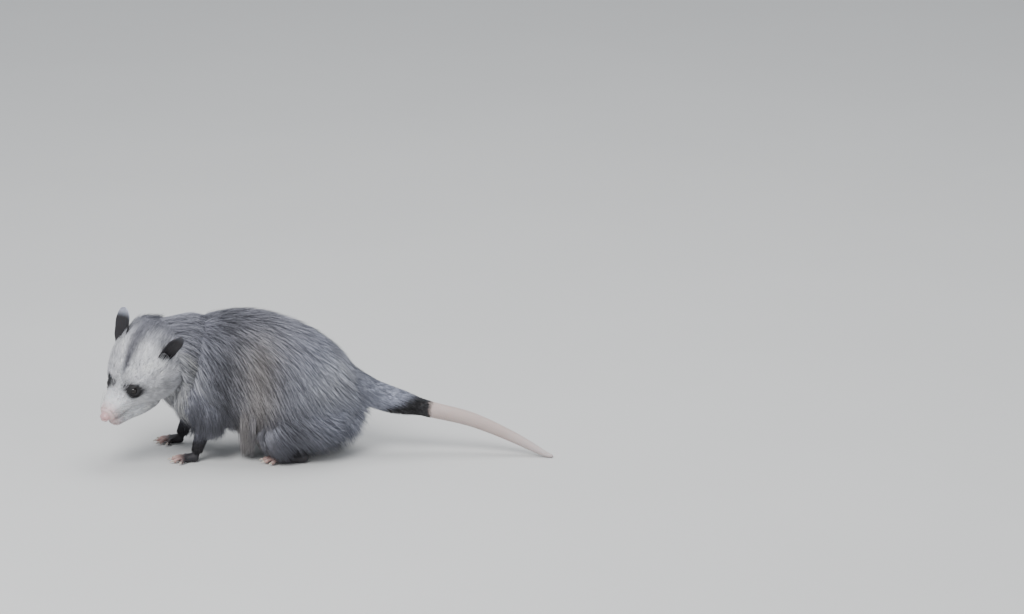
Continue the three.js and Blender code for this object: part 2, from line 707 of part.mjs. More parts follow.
const beforeTail = union(taken);
["tail_root", "tail_middle", "tail_tip"].forEach((name, i) => {
  add(name, tailPiece(tailForm, i, i + 1).subtract(beforeTail).subtract(floorCut), "tail");
});

// The origin is the middle of the footprint, on the floor.
const extent = new THREE.Box3().setFromObject(opossum);
const middle = extent.getCenter(new THREE.Vector3());
opossum.position.set(-middle.x, -middle.y, -extent.min.z);

export default opossum;
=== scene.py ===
"""A young adult Virginia opossum, life size, walking low with its head turned to its left."""

import math
from collections import namedtuple

import bmesh
import bpy
import numpy as np
from mathutils import Matrix, Vector
from mathutils.bvhtree import BVHTree
from mathutils.kdtree import KDTree


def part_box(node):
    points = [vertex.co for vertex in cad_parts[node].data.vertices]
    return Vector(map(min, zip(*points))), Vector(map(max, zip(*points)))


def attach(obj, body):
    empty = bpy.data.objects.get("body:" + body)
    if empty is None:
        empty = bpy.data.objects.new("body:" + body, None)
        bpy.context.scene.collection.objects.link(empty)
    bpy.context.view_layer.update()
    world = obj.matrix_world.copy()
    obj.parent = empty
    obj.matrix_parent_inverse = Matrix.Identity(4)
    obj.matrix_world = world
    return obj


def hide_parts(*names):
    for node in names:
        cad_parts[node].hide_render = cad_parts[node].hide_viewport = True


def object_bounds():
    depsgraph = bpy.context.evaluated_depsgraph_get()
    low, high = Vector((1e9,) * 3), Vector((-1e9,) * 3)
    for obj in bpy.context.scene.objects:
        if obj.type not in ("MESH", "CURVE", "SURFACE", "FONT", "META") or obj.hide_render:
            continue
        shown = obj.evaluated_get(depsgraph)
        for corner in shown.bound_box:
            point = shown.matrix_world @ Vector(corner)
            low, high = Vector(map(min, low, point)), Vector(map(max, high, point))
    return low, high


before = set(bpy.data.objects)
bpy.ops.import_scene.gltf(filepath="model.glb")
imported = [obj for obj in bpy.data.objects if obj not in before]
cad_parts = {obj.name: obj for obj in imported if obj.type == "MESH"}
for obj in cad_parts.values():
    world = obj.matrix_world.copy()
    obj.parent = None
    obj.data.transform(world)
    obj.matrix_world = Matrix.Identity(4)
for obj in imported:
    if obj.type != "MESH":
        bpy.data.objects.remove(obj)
cad_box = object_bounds()

# Camera, square to the animal's left side and a little above it, from six metres away, so that it
# is small and to the left in a wide frame. It is placed from the head, whose frame comes first.
MM = 0.001
NOSE_TIP = np.array([-157.0, -76.0, 70.5])
EYE = np.array([45.0, 19.4, 10.0])
HEAD_TURN, HEAD_DROOP, HEAD_TILT = (math.radians(a) for a in (46.5, 30.0, 4.0))


def turned(axis, angle):
    """The matrix of a turn about x, y or z."""
    c, s = math.cos(angle), math.sin(angle)
    return np.roll([[1, 0, 0], [0, c, -s], [0, s, c]], axis, (0, 1))


HEAD = turned(2, HEAD_TURN) @ turned(1, -HEAD_DROOP) @ turned(0, HEAD_TILT)


def on_head(points):
    """Points in the head's frame, back, right and up from the nose tip, as body millimetres."""
    return points @ HEAD.T + NOSE_TIP


def in_head(points):
    """Body millimetres as back, right and up from the nose tip."""
    return (points - NOSE_TIP) @ HEAD


def eye_at(side):
    return on_head(EYE * np.array([1, side, 1]))


low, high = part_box("eye_left")
SHIFT = np.array((low + high) / 2) / MM - eye_at(-1)


def placed(points):
    """Body millimetres as metres in the model's frame."""
    return (np.asarray(points, float) + SHIFT) * MM


VIEW_TARGET, VIEW_RISE, VIEW_DISTANCE = Vector(placed([352.0, 0.0, 190.0])), math.radians(16), 6
camera_data = bpy.data.cameras.new("camera")
camera_data.lens = 168.7
camera_data.sensor_width = 36
camera_data.clip_end = 40
camera = bpy.data.objects.new("camera", camera_data)
camera.location = VIEW_TARGET + Vector((0, -math.cos(VIEW_RISE), math.sin(VIEW_RISE))) * VIEW_DISTANCE
camera.rotation_euler = (VIEW_TARGET - camera.location).to_track_quat("-Z", "Y").to_euler()
bpy.context.scene.collection.objects.link(camera)
bpy.context.scene.camera = camera

# The body under the coat: trunk, neck, skull, jaw, limbs, feet and tail, each a rounded form about
# a bent line, and all of them fused into one closed skin.
TURN = math.tau
LINE_STEPS = 400


def unit(v):
    return v / np.maximum(np.linalg.norm(v, axis=-1, keepdims=True), 1e-9)


def ease(x, start, end):
    """A smooth step from 0 at start to 1 at end."""
    t = np.clip((x - start) / (end - start), 0, 1)
    return t * t * (3 - 2 * t)


def through(*stations):
    """A smooth curve through [where, value] stations that keeps its end values past both ends."""
    where, value = np.array(stations, float).T
    slope = np.empty(len(where))
    slope[1:-1] = (value[2:] - value[:-2]) / (where[2:] - where[:-2])
    slope[0] = (value[1] - value[0]) / (where[1] - where[0])
    slope[-1] = (value[-1] - value[-2]) / (where[-1] - where[-2])

    def at(x):
        x = np.clip(np.asarray(x, float), where[0], where[-1])
        i = np.clip(np.searchsorted(where, x, "right") - 1, 0, len(where) - 2)
        span = where[i + 1] - where[i]
        t = (x - where[i]) / span
        rise = t * t * (3 - 2 * t)
        lead = t * (1 - t) ** 2 * span * slope[i]
        trail = t * t * (t - 1) * span * slope[i + 1]
        return value[i] + (value[i + 1] - value[i]) * rise + lead + trail

    return at


def bent_line(points, steps=40):
    """Even points along a smooth curve through these, their directions, and its length."""
    p = np.array(points, float)
    p = np.vstack([2 * p[0] - p[1], p, 2 * p[-1] - p[-2]])
    t = np.linspace(0, 1, steps, endpoint=False)[:, None]
    runs = []
    for a, b, c, d in zip(p, p[1:], p[2:], p[3:]):
        ab, bc, cd = (math.sqrt(np.linalg.norm(y - x)) for x, y in ((a, b), (b, c), (c, d)))
        m1 = ((b - a) / ab - (c - a) / (ab + bc) + (c - b) / bc) * bc
        m2 = ((c - b) / bc - (d - b) / (bc + cd) + (d - c) / cd) * bc
        runs.append(b + m1 * t + (3 * (c - b) - 2 * m1 - m2) * t**2 + (2 * (b - c) + m1 + m2) * t**3)
    path = np.vstack(runs + [p[-2:-1]])
    travelled = np.concatenate([[0], np.cumsum(np.linalg.norm(np.diff(path, axis=0), axis=1))])
    even = np.linspace(0, travelled[-1], LINE_STEPS + 1)
    path = np.column_stack([np.interp(even, travelled, path[:, k]) for k in range(3)])
    return path, unit(np.gradient(path, axis=0)), travelled[-1]


class Form:
    """A closed form round a bent line. across, above and below are its half sizes at a share of its
    length, square its section's power, and blunt the share of it that rounds off each end."""

    def __init__(self, line, across, above, blunt, below=None, square=2.0, sideways=(0, 1, 0)):
        self.path, self.heading, self.length = bent_line(line)
        self.sideways = np.array(sideways, float)
        if np.cross(self.heading[LINE_STEPS // 2], self.sideways)[2] < 0:
            self.sideways = -self.sideways
        self.across, self.above, self.below = across, above, below or above
        self.square, self.blunt = square, blunt
        self.radius = math.sqrt((float(across(0.5)) ** 2 + float(above(0.5)) ** 2) / 2)

    def at(self, share, angle, coat=0.0):
        """Points at shares of the length and angles round it, over the skin by coat."""
        share, angle = np.broadcast_arrays(np.asarray(share, float), np.asarray(angle, float))
        along = share * (self.length + 2 * coat) - coat
        place = np.clip(along / self.length, 0, 1)
        grid = np.linspace(0, 1, LINE_STEPS + 1)
        centre, ahead = (
            np.stack([np.interp(place, grid, table[:, k]) for k in range(3)], -1)
            for table in (self.path, self.heading)
        )
        ahead = unit(ahead)
        side = unit(self.sideways - ahead * (ahead @ self.sideways)[..., None])
        over = np.cross(ahead, side)
        near = np.minimum(np.minimum(share / self.blunt[0], (1 - share) / self.blunt[1]), 1)
        rounding = np.sqrt(np.maximum(0, 1 - (1 - near) ** 2))
        height = np.where(np.sin(angle) > 0, self.above(place), self.below(place))
        c, s = (np.sign(x) * np.abs(x) ** (2 / self.square) for x in (np.cos(angle), np.sin(angle)))
        out = side * ((self.across(place) + coat) * rounding * c)[..., None]
        up = over * ((height + coat) * rounding * s)[..., None]
        return centre + ahead * (along - place * self.length)[..., None] + out + up

    def shell(self, rings, sides, coat=0.0):
        """The form as points and faces, closed at both ends."""
        even = np.arange(1, rings) / rings
        shares = 0.45 * even + 0.55 * (0.5 - 0.5 * np.cos(math.pi * even))
        angles = TURN * (np.arange(sides) + 0.5) / sides
        body = self.at(shares[:, None], angles[None, :], coat).reshape(-1, 3)
        points = np.vstack([self.at(0, 0, coat)[None], body, self.at(1, 0, coat)[None]])
        last = len(points) - 1
        faces = []
        for k in range(sides):
            after = (k + 1) % sides
            faces.append((0, 1 + after, 1 + k))
            for r in range(rings - 2):
                a = 1 + r * sides
                faces.append((a + k, a + after, a + sides + after, a + sides + k))
            end = 1 + (rings - 2) * sides
            faces.append((end + k, end + after, last))
        return points, faces


def new_piece(name, points, faces):
    """A mesh object of points in body millimetres, with its faces outwards."""
    mesh = bpy.data.meshes.new(name)
    mesh.from_pydata([tuple(p) for p in placed(points)], [], faces)
    edit = bmesh.new()
    edit.from_mesh(mesh)
    bmesh.ops.recalc_face_normals(edit, faces=edit.faces)
    edit.to_mesh(mesh)
    edit.free()
    mesh.shade_smooth()
    made = bpy.data.objects.new(name, mesh)
    bpy.context.scene.collection.objects.link(made)
    return made


def joined(shells):
    """Several (points, faces) as one."""
    points, faces, start = [], [], 0
    for p, f in shells:
        points.append(p)
        faces += [tuple(start + i for i in face) for face in f]
        start += len(p)
    return np.vstack(points), faces


def apply_modifier(piece, kind, **settings):
    bpy.ops.object.select_all(action="DESELECT")
    piece.select_set(True)
    bpy.context.view_layer.objects.active = piece
    modifier = piece.modifiers.new(kind.lower(), kind)
    for key, value in settings.items():
        setattr(modifier, key, value)
    bpy.ops.object.modifier_apply(modifier=modifier.name)


trunk = Form(
    [
        [-80, -4, 114], [-45, 0, 113], [14, 0, 108.5], [62, 0, 100.5],
        [103, 0, 88], [127, 0, 81], [150, 0, 76],
    ],
    across=through([0, 26], [0.15, 34], [0.4, 45], [0.65, 50], [0.85, 46], [1, 30]),
    above=through([0, 40], [0.15, 57], [0.4, 68], [0.6, 63], [0.78, 51], [0.9, 40], [1, 28]),
    below=through([0, 40], [0.15, 55], [0.4, 62], [0.65, 57], [0.85, 50], [1, 34]),
    square=2.2,
    blunt=(0.2, 0.16),
)
neck = Form(
    [[-36, -1, 120], [-58, -4, 126], [-80, -9, 131], [-104, -17, 134], [-120, -24, 132]],
    across=through([0, 34], [0.35, 31], [0.7, 30], [1, 26]),
    above=through([0, 54], [0.35, 52], [0.7, 40], [1, 28]),
    below=through([0, 48], [0.5, 46], [1, 34]),
    blunt=(0.3, 0.3),
)
chest = Form(
    [[-52, -6, 100], [-50, -10, 76], [-46, -12, 56]],
    across=through([0, 30], [0.5, 28], [1, 20]),
    above=through([0, 22], [0.5, 20], [1, 13]),
    blunt=(0.3, 0.35),
)
SKULL_FRONT, SKULL_LENGTH = 3, 133
skull = Form(
    [[SKULL_FRONT, 0, -4], [22, 0, -2], [46, 0, 1], [78, 0, 5], [SKULL_FRONT + SKULL_LENGTH, 0, 9]],
    across=through(
        [0, 7], [0.07, 10.5], [0.17, 15], [0.25, 18.5], [0.34, 25.5],
        [0.44, 37], [0.55, 43], [0.66, 43], [0.76, 39], [1, 28],
    ),
    above=through(
        [0, 6.5], [0.07, 8.5], [0.17, 10.5], [0.25, 12.5], [0.34, 16.5],
        [0.44, 22.5], [0.55, 30.5], [0.65, 37], [0.75, 40.5], [1, 38],
    ),
    below=through(
        [0, 6], [0.07, 8.5], [0.17, 11], [0.25, 14], [0.34, 20], [0.46, 28], [0.58, 32], [1, 30]
    ),
    square=2.6,
    blunt=(0.05, 0.08),
)
jaw = Form(
    [[9, 0, -17], [24, 0, -20], [48, 0, -23], [84, 0, -23]],
    across=through([0, 7.5], [0.3, 12], [0.6, 20], [1, 27]),
    above=through([0, 4.5], [1, 13]),
    below=through([0, 6.5], [0.3, 10], [0.6, 15], [1, 17]),
    blunt=(0.1, 0.3),
)
nose = Form(
    [[-3, 0, -3.5], [0, 0, -3.8], [6, 0, -4]],
    across=through([0, 5.4], [0.5, 6.8], [1, 6]),
    above=through([0, 4], [0.5, 5.2], [1, 4.4]),
    blunt=(0.45, 0.3),
)


def limb(line, *stations):
    return Form(line, across=through(*stations), above=through(*stations), blunt=(0.2, 0.08))


def arm(*line):
    return limb(line, [0, 17], [0.35, 16], [0.6, 11], [0.85, 7.5], [1, 7])


def shank(*line):
    return limb(line, [0, 15], [0.35, 14], [0.7, 9.5], [1, 8])


def thigh(back, y):
    return Form(
        [[136 + back, y, 76], [100 + back, y * 1.2, 66], [48 + back, y * 1.25, 50]],
        across=through([0, 14], [0.5, 16], [1, 11]),
        above=through([0, 26], [0.5, 30], [1, 17]),
        below=through([0, 28], [0.5, 30], [1, 17]),
        blunt=(0.35, 0.3),
    )


arms = {
    "left": arm([-50, -17, 94], [-26, -36, 60], [-38, -38, 30], [-44, -38, 9]),
    "right": arm([-54, 17, 94], [-38, 36, 60], [-60, 36, 30], [-68, 36, 9]),
}
thighs = {"left": thigh(0, -33), "right": thigh(12, 33)}
shanks = {
    "left": shank([46, -42, 52], [62, -45, 34], [84, -45, 22], [90, -45, 10]),
    "right": shank([60, 42, 52], [80, 45, 34], [104, 45, 22], [112, 45, 10]),
}
TAIL_LINE = [
    [130, 0, 92], [153, 0, 89], [183, 0, 76], [212, 0, 67], [244, 0, 57.5],
    [300, -3, 44], [349, -9, 24.5], [376, -15, 12], [394, -22, 4.2], [405, -26, 1.6],
]
tail_radius = through(
    [0, 18], [0.07, 17], [0.14, 14.5], [0.28, 12], [0.42, 10.4], [0.6, 9.4], [0.78, 7.4], [0.9, 5.6], [1, 2.6]
)
tail = Form(TAIL_LINE, across=tail_radius, above=tail_radius, blunt=(0.04, 0.02))

# Feet: a flat pad with five fingers in front and four toes and an opposed thumb behind, all on the
# floor, each digit a jointed form that ends in a swollen tip with its claw.
HEELS = {
    "fore_left": [-40, -41, 6], "fore_right": [-64, 39, 6],
    "hind_left": [98, -45, 7], "hind_right": [120, 45, 7],
}
FORE_DIGITS = [
    (0.72, 62, 12, 4), (0.9, 30, 15, 4.5), (0.96, 4, 16, 4.5), (0.92, -24, 15, 4.5), (0.76, -56, 12, 4)
]
HIND_DIGITS = [
    (0.5, 98, 16, 0), (0.9, 26, 17, 4.5), (0.97, 5, 18, 4.5), (0.94, -16, 17, 4.5), (0.84, -40, 15, 4.5)
]
FORE = {"length": 20, "half": 9.5, "height": 6, "digits": FORE_DIGITS, "thick": 2.9}
HIND = {"length": 42, "half": 11, "height": 7, "digits": HIND_DIGITS, "thick": 3.2}


def foot(heel, length, half, height, inner, digits, thick):
    """A foot's pad and digits, and its claws. A digit starts at a share of the pad, at an angle to
    it, and has a reach and a claw's length."""
    x, y, z = heel
    forms = [
        Form(
            [[x, y, z], [x - length * 0.5, y, z], [x - length, y, z - 1]],
            across=through([0, half * 0.62], [0.5, half * 0.72], [1, half]),
            above=through([0, height], [1, height * 0.72]),
            below=lambda place: z + 0 * place,
            blunt=(0.2, 0.22),
        )
    ]
    claws = []
    for share, angle, reach, claw in digits:
        turn = math.radians(angle)
        root = np.array([x - length * share, y + inner * half * 0.62 * math.sin(turn), z - 0.5])
        way = np.array([-math.cos(turn), inner * math.sin(turn), 0])
        tip = root + way * reach
        tip[2] = thick * 0.86
        knuckle = (root + tip) / 2 + np.array([0, 0, 1.6])
        across = (-way[1], way[0], 0)
        forms.append(
            Form(
                [root, knuckle, tip],
                across=through([0, thick], [0.55, thick * 0.82], [0.85, thick], [1, thick * 0.8]),
                above=through([0, thick], [0.55, thick * 0.85], [1, thick * 0.9]),
                blunt=(0.1, 0.16),
                sideways=across,
            )
        )
        if not claw:
            continue
        up = np.array([0, 0, 1.0])
        claws.append(
            Form(
                [tip - way * 2 + up * 0.8, tip + way * claw * 0.45 + up * 1.2, tip + way * claw - up * 0.6],
                across=through([0, 1.1], [0.5, 0.9], [1, 0.12]),
                above=through([0, 1.4], [0.5, 1.1], [1, 0.15]),
                blunt=(0.05, 0.02),
                sideways=across,
            )
        )
    return forms, claws


feet = {
    name: foot(heel, inner=1 if "left" in name else -1, **(FORE if "fore" in name else HIND))
    for name, heel in HEELS.items()
}

# One skin over all of it: fused, smoothed more under the long coat than on the face and feet, and
# then given its lids, lips, nostrils and folds.
SKIN_GRAIN = 1.45
shells = [trunk.shell(60, 64), neck.shell(40, 48), chest.shell(40, 48), tail.shell(160, 32, -0.3)]
shells += [form.shell(40, 36) for form in [*arms.values(), *thighs.values(), *shanks.values()]]
shells += [form.shell(26, 24) for forms, _ in feet.values() for form in forms]
for form, coat in ((skull, 1.0), (jaw, 0.8), (nose, 0.0)):
    points, faces = form.shell(90, 64, coat)
    shells.append((on_head(points), faces))
skin = new_piece("skin", *joined(shells))
apply_modifier(skin, "REMESH", mode="VOXEL", voxel_size=SKIN_GRAIN * MM)


def vertex_rows(piece, kind):
    flat = np.empty(len(piece.data.vertices) * 3)
    piece.data.vertices.foreach_get(kind, flat)
    return flat.reshape(-1, 3)


def points_of(piece):
    return vertex_rows(piece, "co") / MM - SHIFT


def weighted(piece, name, weights):
    """The name of a new vertex group with these weights, in tenths."""
    group = piece.vertex_groups.new(name=name)
    for level in np.unique(np.round(weights, 1)):
        members = np.flatnonzero(np.round(weights, 1) == level)
        if level > 0:
            group.add(members.tolist(), float(level), "REPLACE")
    return name


def face_share(points):
    """1 on the head and 0 on the rest."""
    back, right, up = in_head(points).T
    under = -46 + 14 * ease(back, 70, 92)
    return (1 - ease(back, 92, 114)) * (1 - ease(np.abs(right), 45, 53)) * ease(up, under - 4, under + 5)


points = points_of(skin)
on_foot = 1 - ease(points[:, 2], 12, 20)
bare_tail = ease(points[:, 0], 170, 190)
under_coat = np.clip(1 - face_share(points) - on_foot - bare_tail, 0, 1)
apply_modifier(skin, "SMOOTH", factor=0.5, iterations=3)
even_out, thin_out = (weighted(skin, name, under_coat) for name in ("even_out", "thin_out"))
apply_modifier(skin, "SMOOTH", factor=0.6, iterations=22, vertex_group=even_out)
apply_modifier(skin, "DECIMATE", ratio=0.5, vertex_group=thin_out, vertex_group_factor=1)


def refine(piece, centres, reach):
    """Splits the edges within reach of the centres."""
    edit = bmesh.new()
    edit.from_mesh(piece.data)
    near = np.zeros(len(edit.verts), bool)
    co = np.array([v.co for v in edit.verts]) / MM - SHIFT
    for centre in centres:
        near |= np.linalg.norm(co - centre, axis=1) < reach
    edges = [e for e in edit.edges if near[e.verts[0].index] and near[e.verts[1].index]]
    bmesh.ops.subdivide_edges(edit, edges=edges, cuts=1, use_grid_fill=True, smooth=0.0)
    bmesh.ops.triangulate(edit, faces=[f for f in edit.faces if len(f.verts) > 4])
    edit.to_mesh(piece.data)
    edit.free()


EYE_RADIUS = 5.2
eyes_and_nose = [eye_at(-1), eye_at(1), on_head(np.array([2.0, 0, -4]))]
refine(skin, eyes_and_nose, 12)
refine(skin, eyes_and_nose, 8)
mouth_places = [
    on_head(skull.at(share, -0.76 if side > 0 else math.pi + 0.76, 1))
    for side in (-1, 1)
    for share in (0.02, 0.07, 0.12, 0.17, 0.22, 0.27, 0.32)
]
refine(skin, mouth_places, 5)


def eye_frame(side):
    """Where an eye looks, and its up and rearward directions, in the head's frame."""
    look = unit(np.array([-0.34, side, 0.3]))
    rise = unit(np.array([0.0, 0, 1]) - look * look[2])
    return look, rise, np.cross(rise, look) * -side


def sculpt_eyes(local):
    """Brows round the eyes, and lids over their globes."""
    for side in (-1, 1):
        centre = EYE * np.array([1, side, 1])
        look, rise, rear = eye_frame(side)
        v = local - centre
        depth = v @ look
        off_axis = np.linalg.norm(v - depth[:, None] * look, axis=1)
        local = local + look * (2.6 * np.exp(-((off_axis / 8.5) ** 2)) * (depth > -9))[:, None]
        v = local - centre
        depth, up, back = v @ look, v @ rise, v @ rear
        distance = np.linalg.norm(v, axis=1)
        sideways = np.arctan2(back, np.maximum(depth, 0.01))
        upright = np.arctan2(up - 0.12 * back, np.maximum(depth, 0.01))
        rim = np.sqrt((sideways / 0.98) ** 2 + (upright / 0.80) ** 2)
        front = (depth > 0.2) & (distance < 11)
        lid = EYE_RADIUS + 0.5 + 0.75 * np.exp(-(((rim - 1.12) / 0.16) ** 2))
        open_share = 1 - ease(rim, 0.92, 1.02)
        goal = np.where(front, np.maximum(distance, lid), distance)
        goal = goal * (1 - open_share) + open_share * np.where(front, EYE_RADIUS * 0.86, distance)
        local = centre + v * (goal / np.maximum(distance, 1e-6))[:, None]
    return local


MOUTH_LINE = through([0, -10.5], [8, -12.5], [18, -14.4], [30, -14.8], [42, -13.2], [50, -11.0])


def sculpt_mouth(local, out):
    """The groove of the mouth between its lips."""
    back, right, up = local.T
    along = ease(back, -4, 1) * (1 - ease(back, 40, 50))
    outside = ease(np.abs(right), 0.0, 2.0) * 0.85 + 0.15
    gap = up - MOUTH_LINE(back)
    groove = -1.5 * np.exp(-((gap / 0.75) ** 2))
    lip = 0.75 * np.exp(-(((gap - 1.9) / 1.3) ** 2)) + 0.5 * np.exp(-(((gap + 1.8) / 1.3) ** 2))
    return local + out * ((groove + lip) * along * outside)[:, None]


def sculpt_nose(local, out):
    """Nostrils with their slits, the cleft between them, and the rim of the nose pad."""
    back, right, up = local.T
    for side in (-1, 1):
        hole = np.hypot((right - side * 3.5) / 1.25, (up + 3.4 + 0.35 * (side * right - 3.5)) / 1.0)
        slit = np.hypot((right - side * 5.4) / 1.5, (up + 4.6) / 0.55)
        pit = np.exp(-(hole**2)) * 2.4 + np.exp(-(slit**2)) * 1.0
        local = local - out * (pit * (1 - ease(back, 3, 6)))[:, None]
    cleft = np.exp(-((right / 0.55) ** 2)) * (1 - ease(back, 2, 4)) * (1 - ease(up, -3.5, -1.5))
    rim = np.exp(-(((back - 4.6) / 0.8) ** 2)) * ease(up, -9, -6) * (np.abs(right) < 9)
    return local - out * (0.8 * cleft + 0.7 * rim)[:, None]


points = points_of(skin)
head_part = np.flatnonzero(face_share(points) > 0.5)
local = in_head(points[head_part])
out = vertex_rows(skin, "normal")[head_part] @ HEAD
points[head_part] = on_head(sculpt_eyes(sculpt_mouth(sculpt_nose(local, out), out)))
points[:, 2] = np.maximum(points[:, 2], 0.0)
skin.data.vertices.foreach_set("co", placed(points).ravel())
skin.data.update()
skin.data.shade_smooth()

# Markings, which the skin and the coat share, with painted shade low on the body: a white face with a
# dark wedge from the nape to the brow and dark patches round the eyes, a grizzled grey body that is
# darker with painted shade on the chest under the head and under the belly, black legs, and a tail
# that is grey and black at its root and bare and pale beyond.
WHITE = np.array([0.81, 0.81, 0.84])
PINK = np.array([0.72, 0.52, 0.51])
CROWN_GREY = np.array([0.17, 0.17, 0.20])
BLACK = np.array([0.010, 0.009, 0.011])
BODY_GREY = np.array([0.28, 0.285, 0.34])
DARK_GREY = np.array([0.125, 0.127, 0.155])
NAPE_GREY = np.array([0.27, 0.26, 0.285])
WARM_GREY = np.array([0.40, 0.37, 0.365])
RUMP_GREY = np.array([0.31, 0.325, 0.40])
BARE_TAIL = np.array([0.64, 0.53, 0.49])
TOE_PINK = np.array([0.50, 0.33, 0.30])
BARE_FROM = (246.5, 249.5)
EARS = {
    "ear_left": (1, [97, -36, 30], [0.34, -0.71, 0.62], [-0.58, -0.66, -0.48], 0.78),
    "ear_right": (-1, [97, 32, 34], [0.5, 0.05, 0.86], [-0.9, 0.2, 0.1], 1.0),
}
WEDGE = through([48, 0.0], [60, 3.0], [78, 7.5], [98, 12], [120, 20], [150, 44])


def mix(a, b, share):
    return a + (b - a) * np.asarray(share)[..., None]


def bump_at(x, centre, reach):
    return np.exp(-(((x - centre) / reach) ** 2))


def front_share(points):
    """1 on the head and the white of the cheeks behind it, fading to 0 on the neck."""
    x, _, z = points.T
    return (1 - ease(x + 0.3 * (z - 110), -78, -26)) * ease(z, 100, 124) * (1 - 0.8 * ease(z, 138, 160))


def face_tint(points):
    back, right, up = in_head(points).T
    tint = np.broadcast_to(WHITE, (len(points), 3))
    tint = mix(tint, PINK, 1 - ease(back, 3, 24))
    half = WEDGE(back)
    wedge = 1 - ease(np.abs(right), half * 0.2, half * 1.5 + 2.5)
    wedge = wedge * ease(back, 46, 64) * ease(up, 4, 14)
    tint = mix(tint, CROWN_GREY, wedge * 0.9)
    tint = mix(tint, NAPE_GREY, ease(back, 92, 124) * ease(up, 18, 38) * 0.8)
    for side in (-1, 1):
        ahead, rise = back - EYE[0] + 0.6, up - EYE[2]
        same_side = ease(right * side, 3, 8)
        across = np.hypot((ahead * 0.79 + rise * 0.62) / 10.8, (rise * 0.79 - ahead * 0.62) / 8.6)
        tint = mix(tint, BLACK, (1 - ease(across, 0.74, 1.1)) * same_side)
        smudge = bump_at(ahead, 19, 10) * bump_at(rise, 7 + 0.1 * ahead, 5)
        tint = mix(tint, CROWN_GREY, smudge * 0.3 * same_side)
    return tint


def ear_frame(axis, facing):
    """An ear's directions, up its length and out of its front."""
    up, front = unit(np.array(axis, float)), np.array(facing, float)
    return up, unit(front - up * (front @ up))


def ear_opening(points):
    """How far points are from the nearer ear's opening."""
    gaps = []
    for _, root, axis, facing, _ in EARS.values():
        up, front = ear_frame(axis, facing)
        gaps.append(np.linalg.norm(points - on_head(np.array(root) + front * 5 - up * 4), axis=1))
    return np.minimum(*gaps)


def body_tint(points):
    x, _, z = points.T
    tint = np.broadcast_to(BODY_GREY, (len(points), 3))
    tint = mix(tint, DARK_GREY, bump_at(x, -22 + 0.1 * (z - 110), 19) * ease(z, 30, 110) * 0.95)
    tint = mix(tint, WARM_GREY, bump_at(x, 18, 22) * (1 - ease(z, 145, 182)) * 0.95)
    tint = mix(tint, RUMP_GREY, ease(x, 50, 100) * 0.95)
    tint = mix(tint, WHITE, bump_at(x, 104, 34) * bump_at(z, 124, 22) * 0.3)
    tint = mix(tint, DARK_GREY, bump_at(x, 74, 26) * bump_at(z, 58, 34) * 0.85)
    # Darker low at the front: the dark forelegs, and painted shade on the chest under the lowered head.
    tint = mix(tint, DARK_GREY * 1.25, (1 - ease(x, -40, -16)) * (1 - ease(z, 84, 104)) * 0.9)
    # Darker towards the bottom, except at the pale flank tuft: the dark legs, and painted shade under the
    # belly.
    return mix(tint, DARK_GREY * 0.9, (1 - ease(z, 22, 52)) * (1 - bump_at(x, 26, 14)) * 0.85)


def leg_tint(points):
    x, y, z = points.T
    toes = np.zeros(len(points))
    for name, (heel_x, heel_y, _) in HEELS.items():
        reach = 24 if "fore" in name else 44
        past = ease(heel_x - x, reach - 8, reach + 6) * (np.abs(y - heel_y) < 30) * (heel_x - x < 75)
        toes = np.maximum(toes, past)
    return mix(mix(DARK_GREY, BLACK * 2, 1 - ease(z, 20, 46)), TOE_PINK, toes * (1 - ease(z, 6, 12)))


def tail_tint(points):
    x, _, z = points.T
    line_z = through(*([at_x, at_z] for at_x, _, at_z in TAIL_LINE[:6]))(x)
    rise = -11 + 24 * ease(x, 168, 236)
    under = 1 - ease(z - line_z, rise - 4, rise + 5)
    furred = np.broadcast_to(RUMP_GREY * 1.15, (len(points), 3))
    banded = mix(furred, BLACK * 1.5, under * ease(x, 164, 186))
    bare = mix(banded, BARE_TAIL, ease(x, *BARE_FROM))
    return mix(bare, WHITE * 0.95, ease(x, 330, 400) * 0.35)


def markings_and_shade(points):
    """The tint of skin or coat at points in body millimetres: the markings, with painted shade on the chest
    under the head and under the belly.
    """
    x, _, z = points.T
    on_leg = (1 - ease(z, 26, 50)) * (1 - ease(x, 150, 170))
    tint = mix(body_tint(points), leg_tint(points), on_leg)
    tint = mix(tint, tail_tint(points), ease(x, 146, 168))
    return mix(tint, face_tint(points), np.maximum(face_share(points), front_share(points)))


def add_tint(piece, tints, extra=None):
    """Stores tints, and other numbers by name, at the piece's points."""
    colour = piece.data.color_attributes.new("Tint", "FLOAT_COLOR", "POINT")
    rows = np.column_stack([tints, np.ones(len(tints))])
    colour.data.foreach_set("color", rows.astype(np.float32).ravel())
    for name, values in (extra or {}).items():
        kept = piece.data.attributes.new(name, "FLOAT", "POINT")
        kept.data.foreach_set("value", np.asarray(values, np.float32))


class Wire:
    """A shader socket that takes part in sums."""

    def __init__(self, paint, socket):
        self.paint, self.socket = paint, socket

    def sum(self, operation, *others):
        return self.paint.node("Math", {"operation": operation}, dict(enumerate([self, *others])))

    def __add__(self, other):
        return self.sum("ADD", other)

    def __sub__(self, other):
        return self.sum("SUBTRACT", other)

    def __rsub__(self, other):
        return self.paint.node("Math", {"operation": "SUBTRACT"}, {0: other, 1: self})

    def __mul__(self, other):
        return self.sum("MULTIPLY", other)

    __radd__, __rmul__ = __add__, __mul__


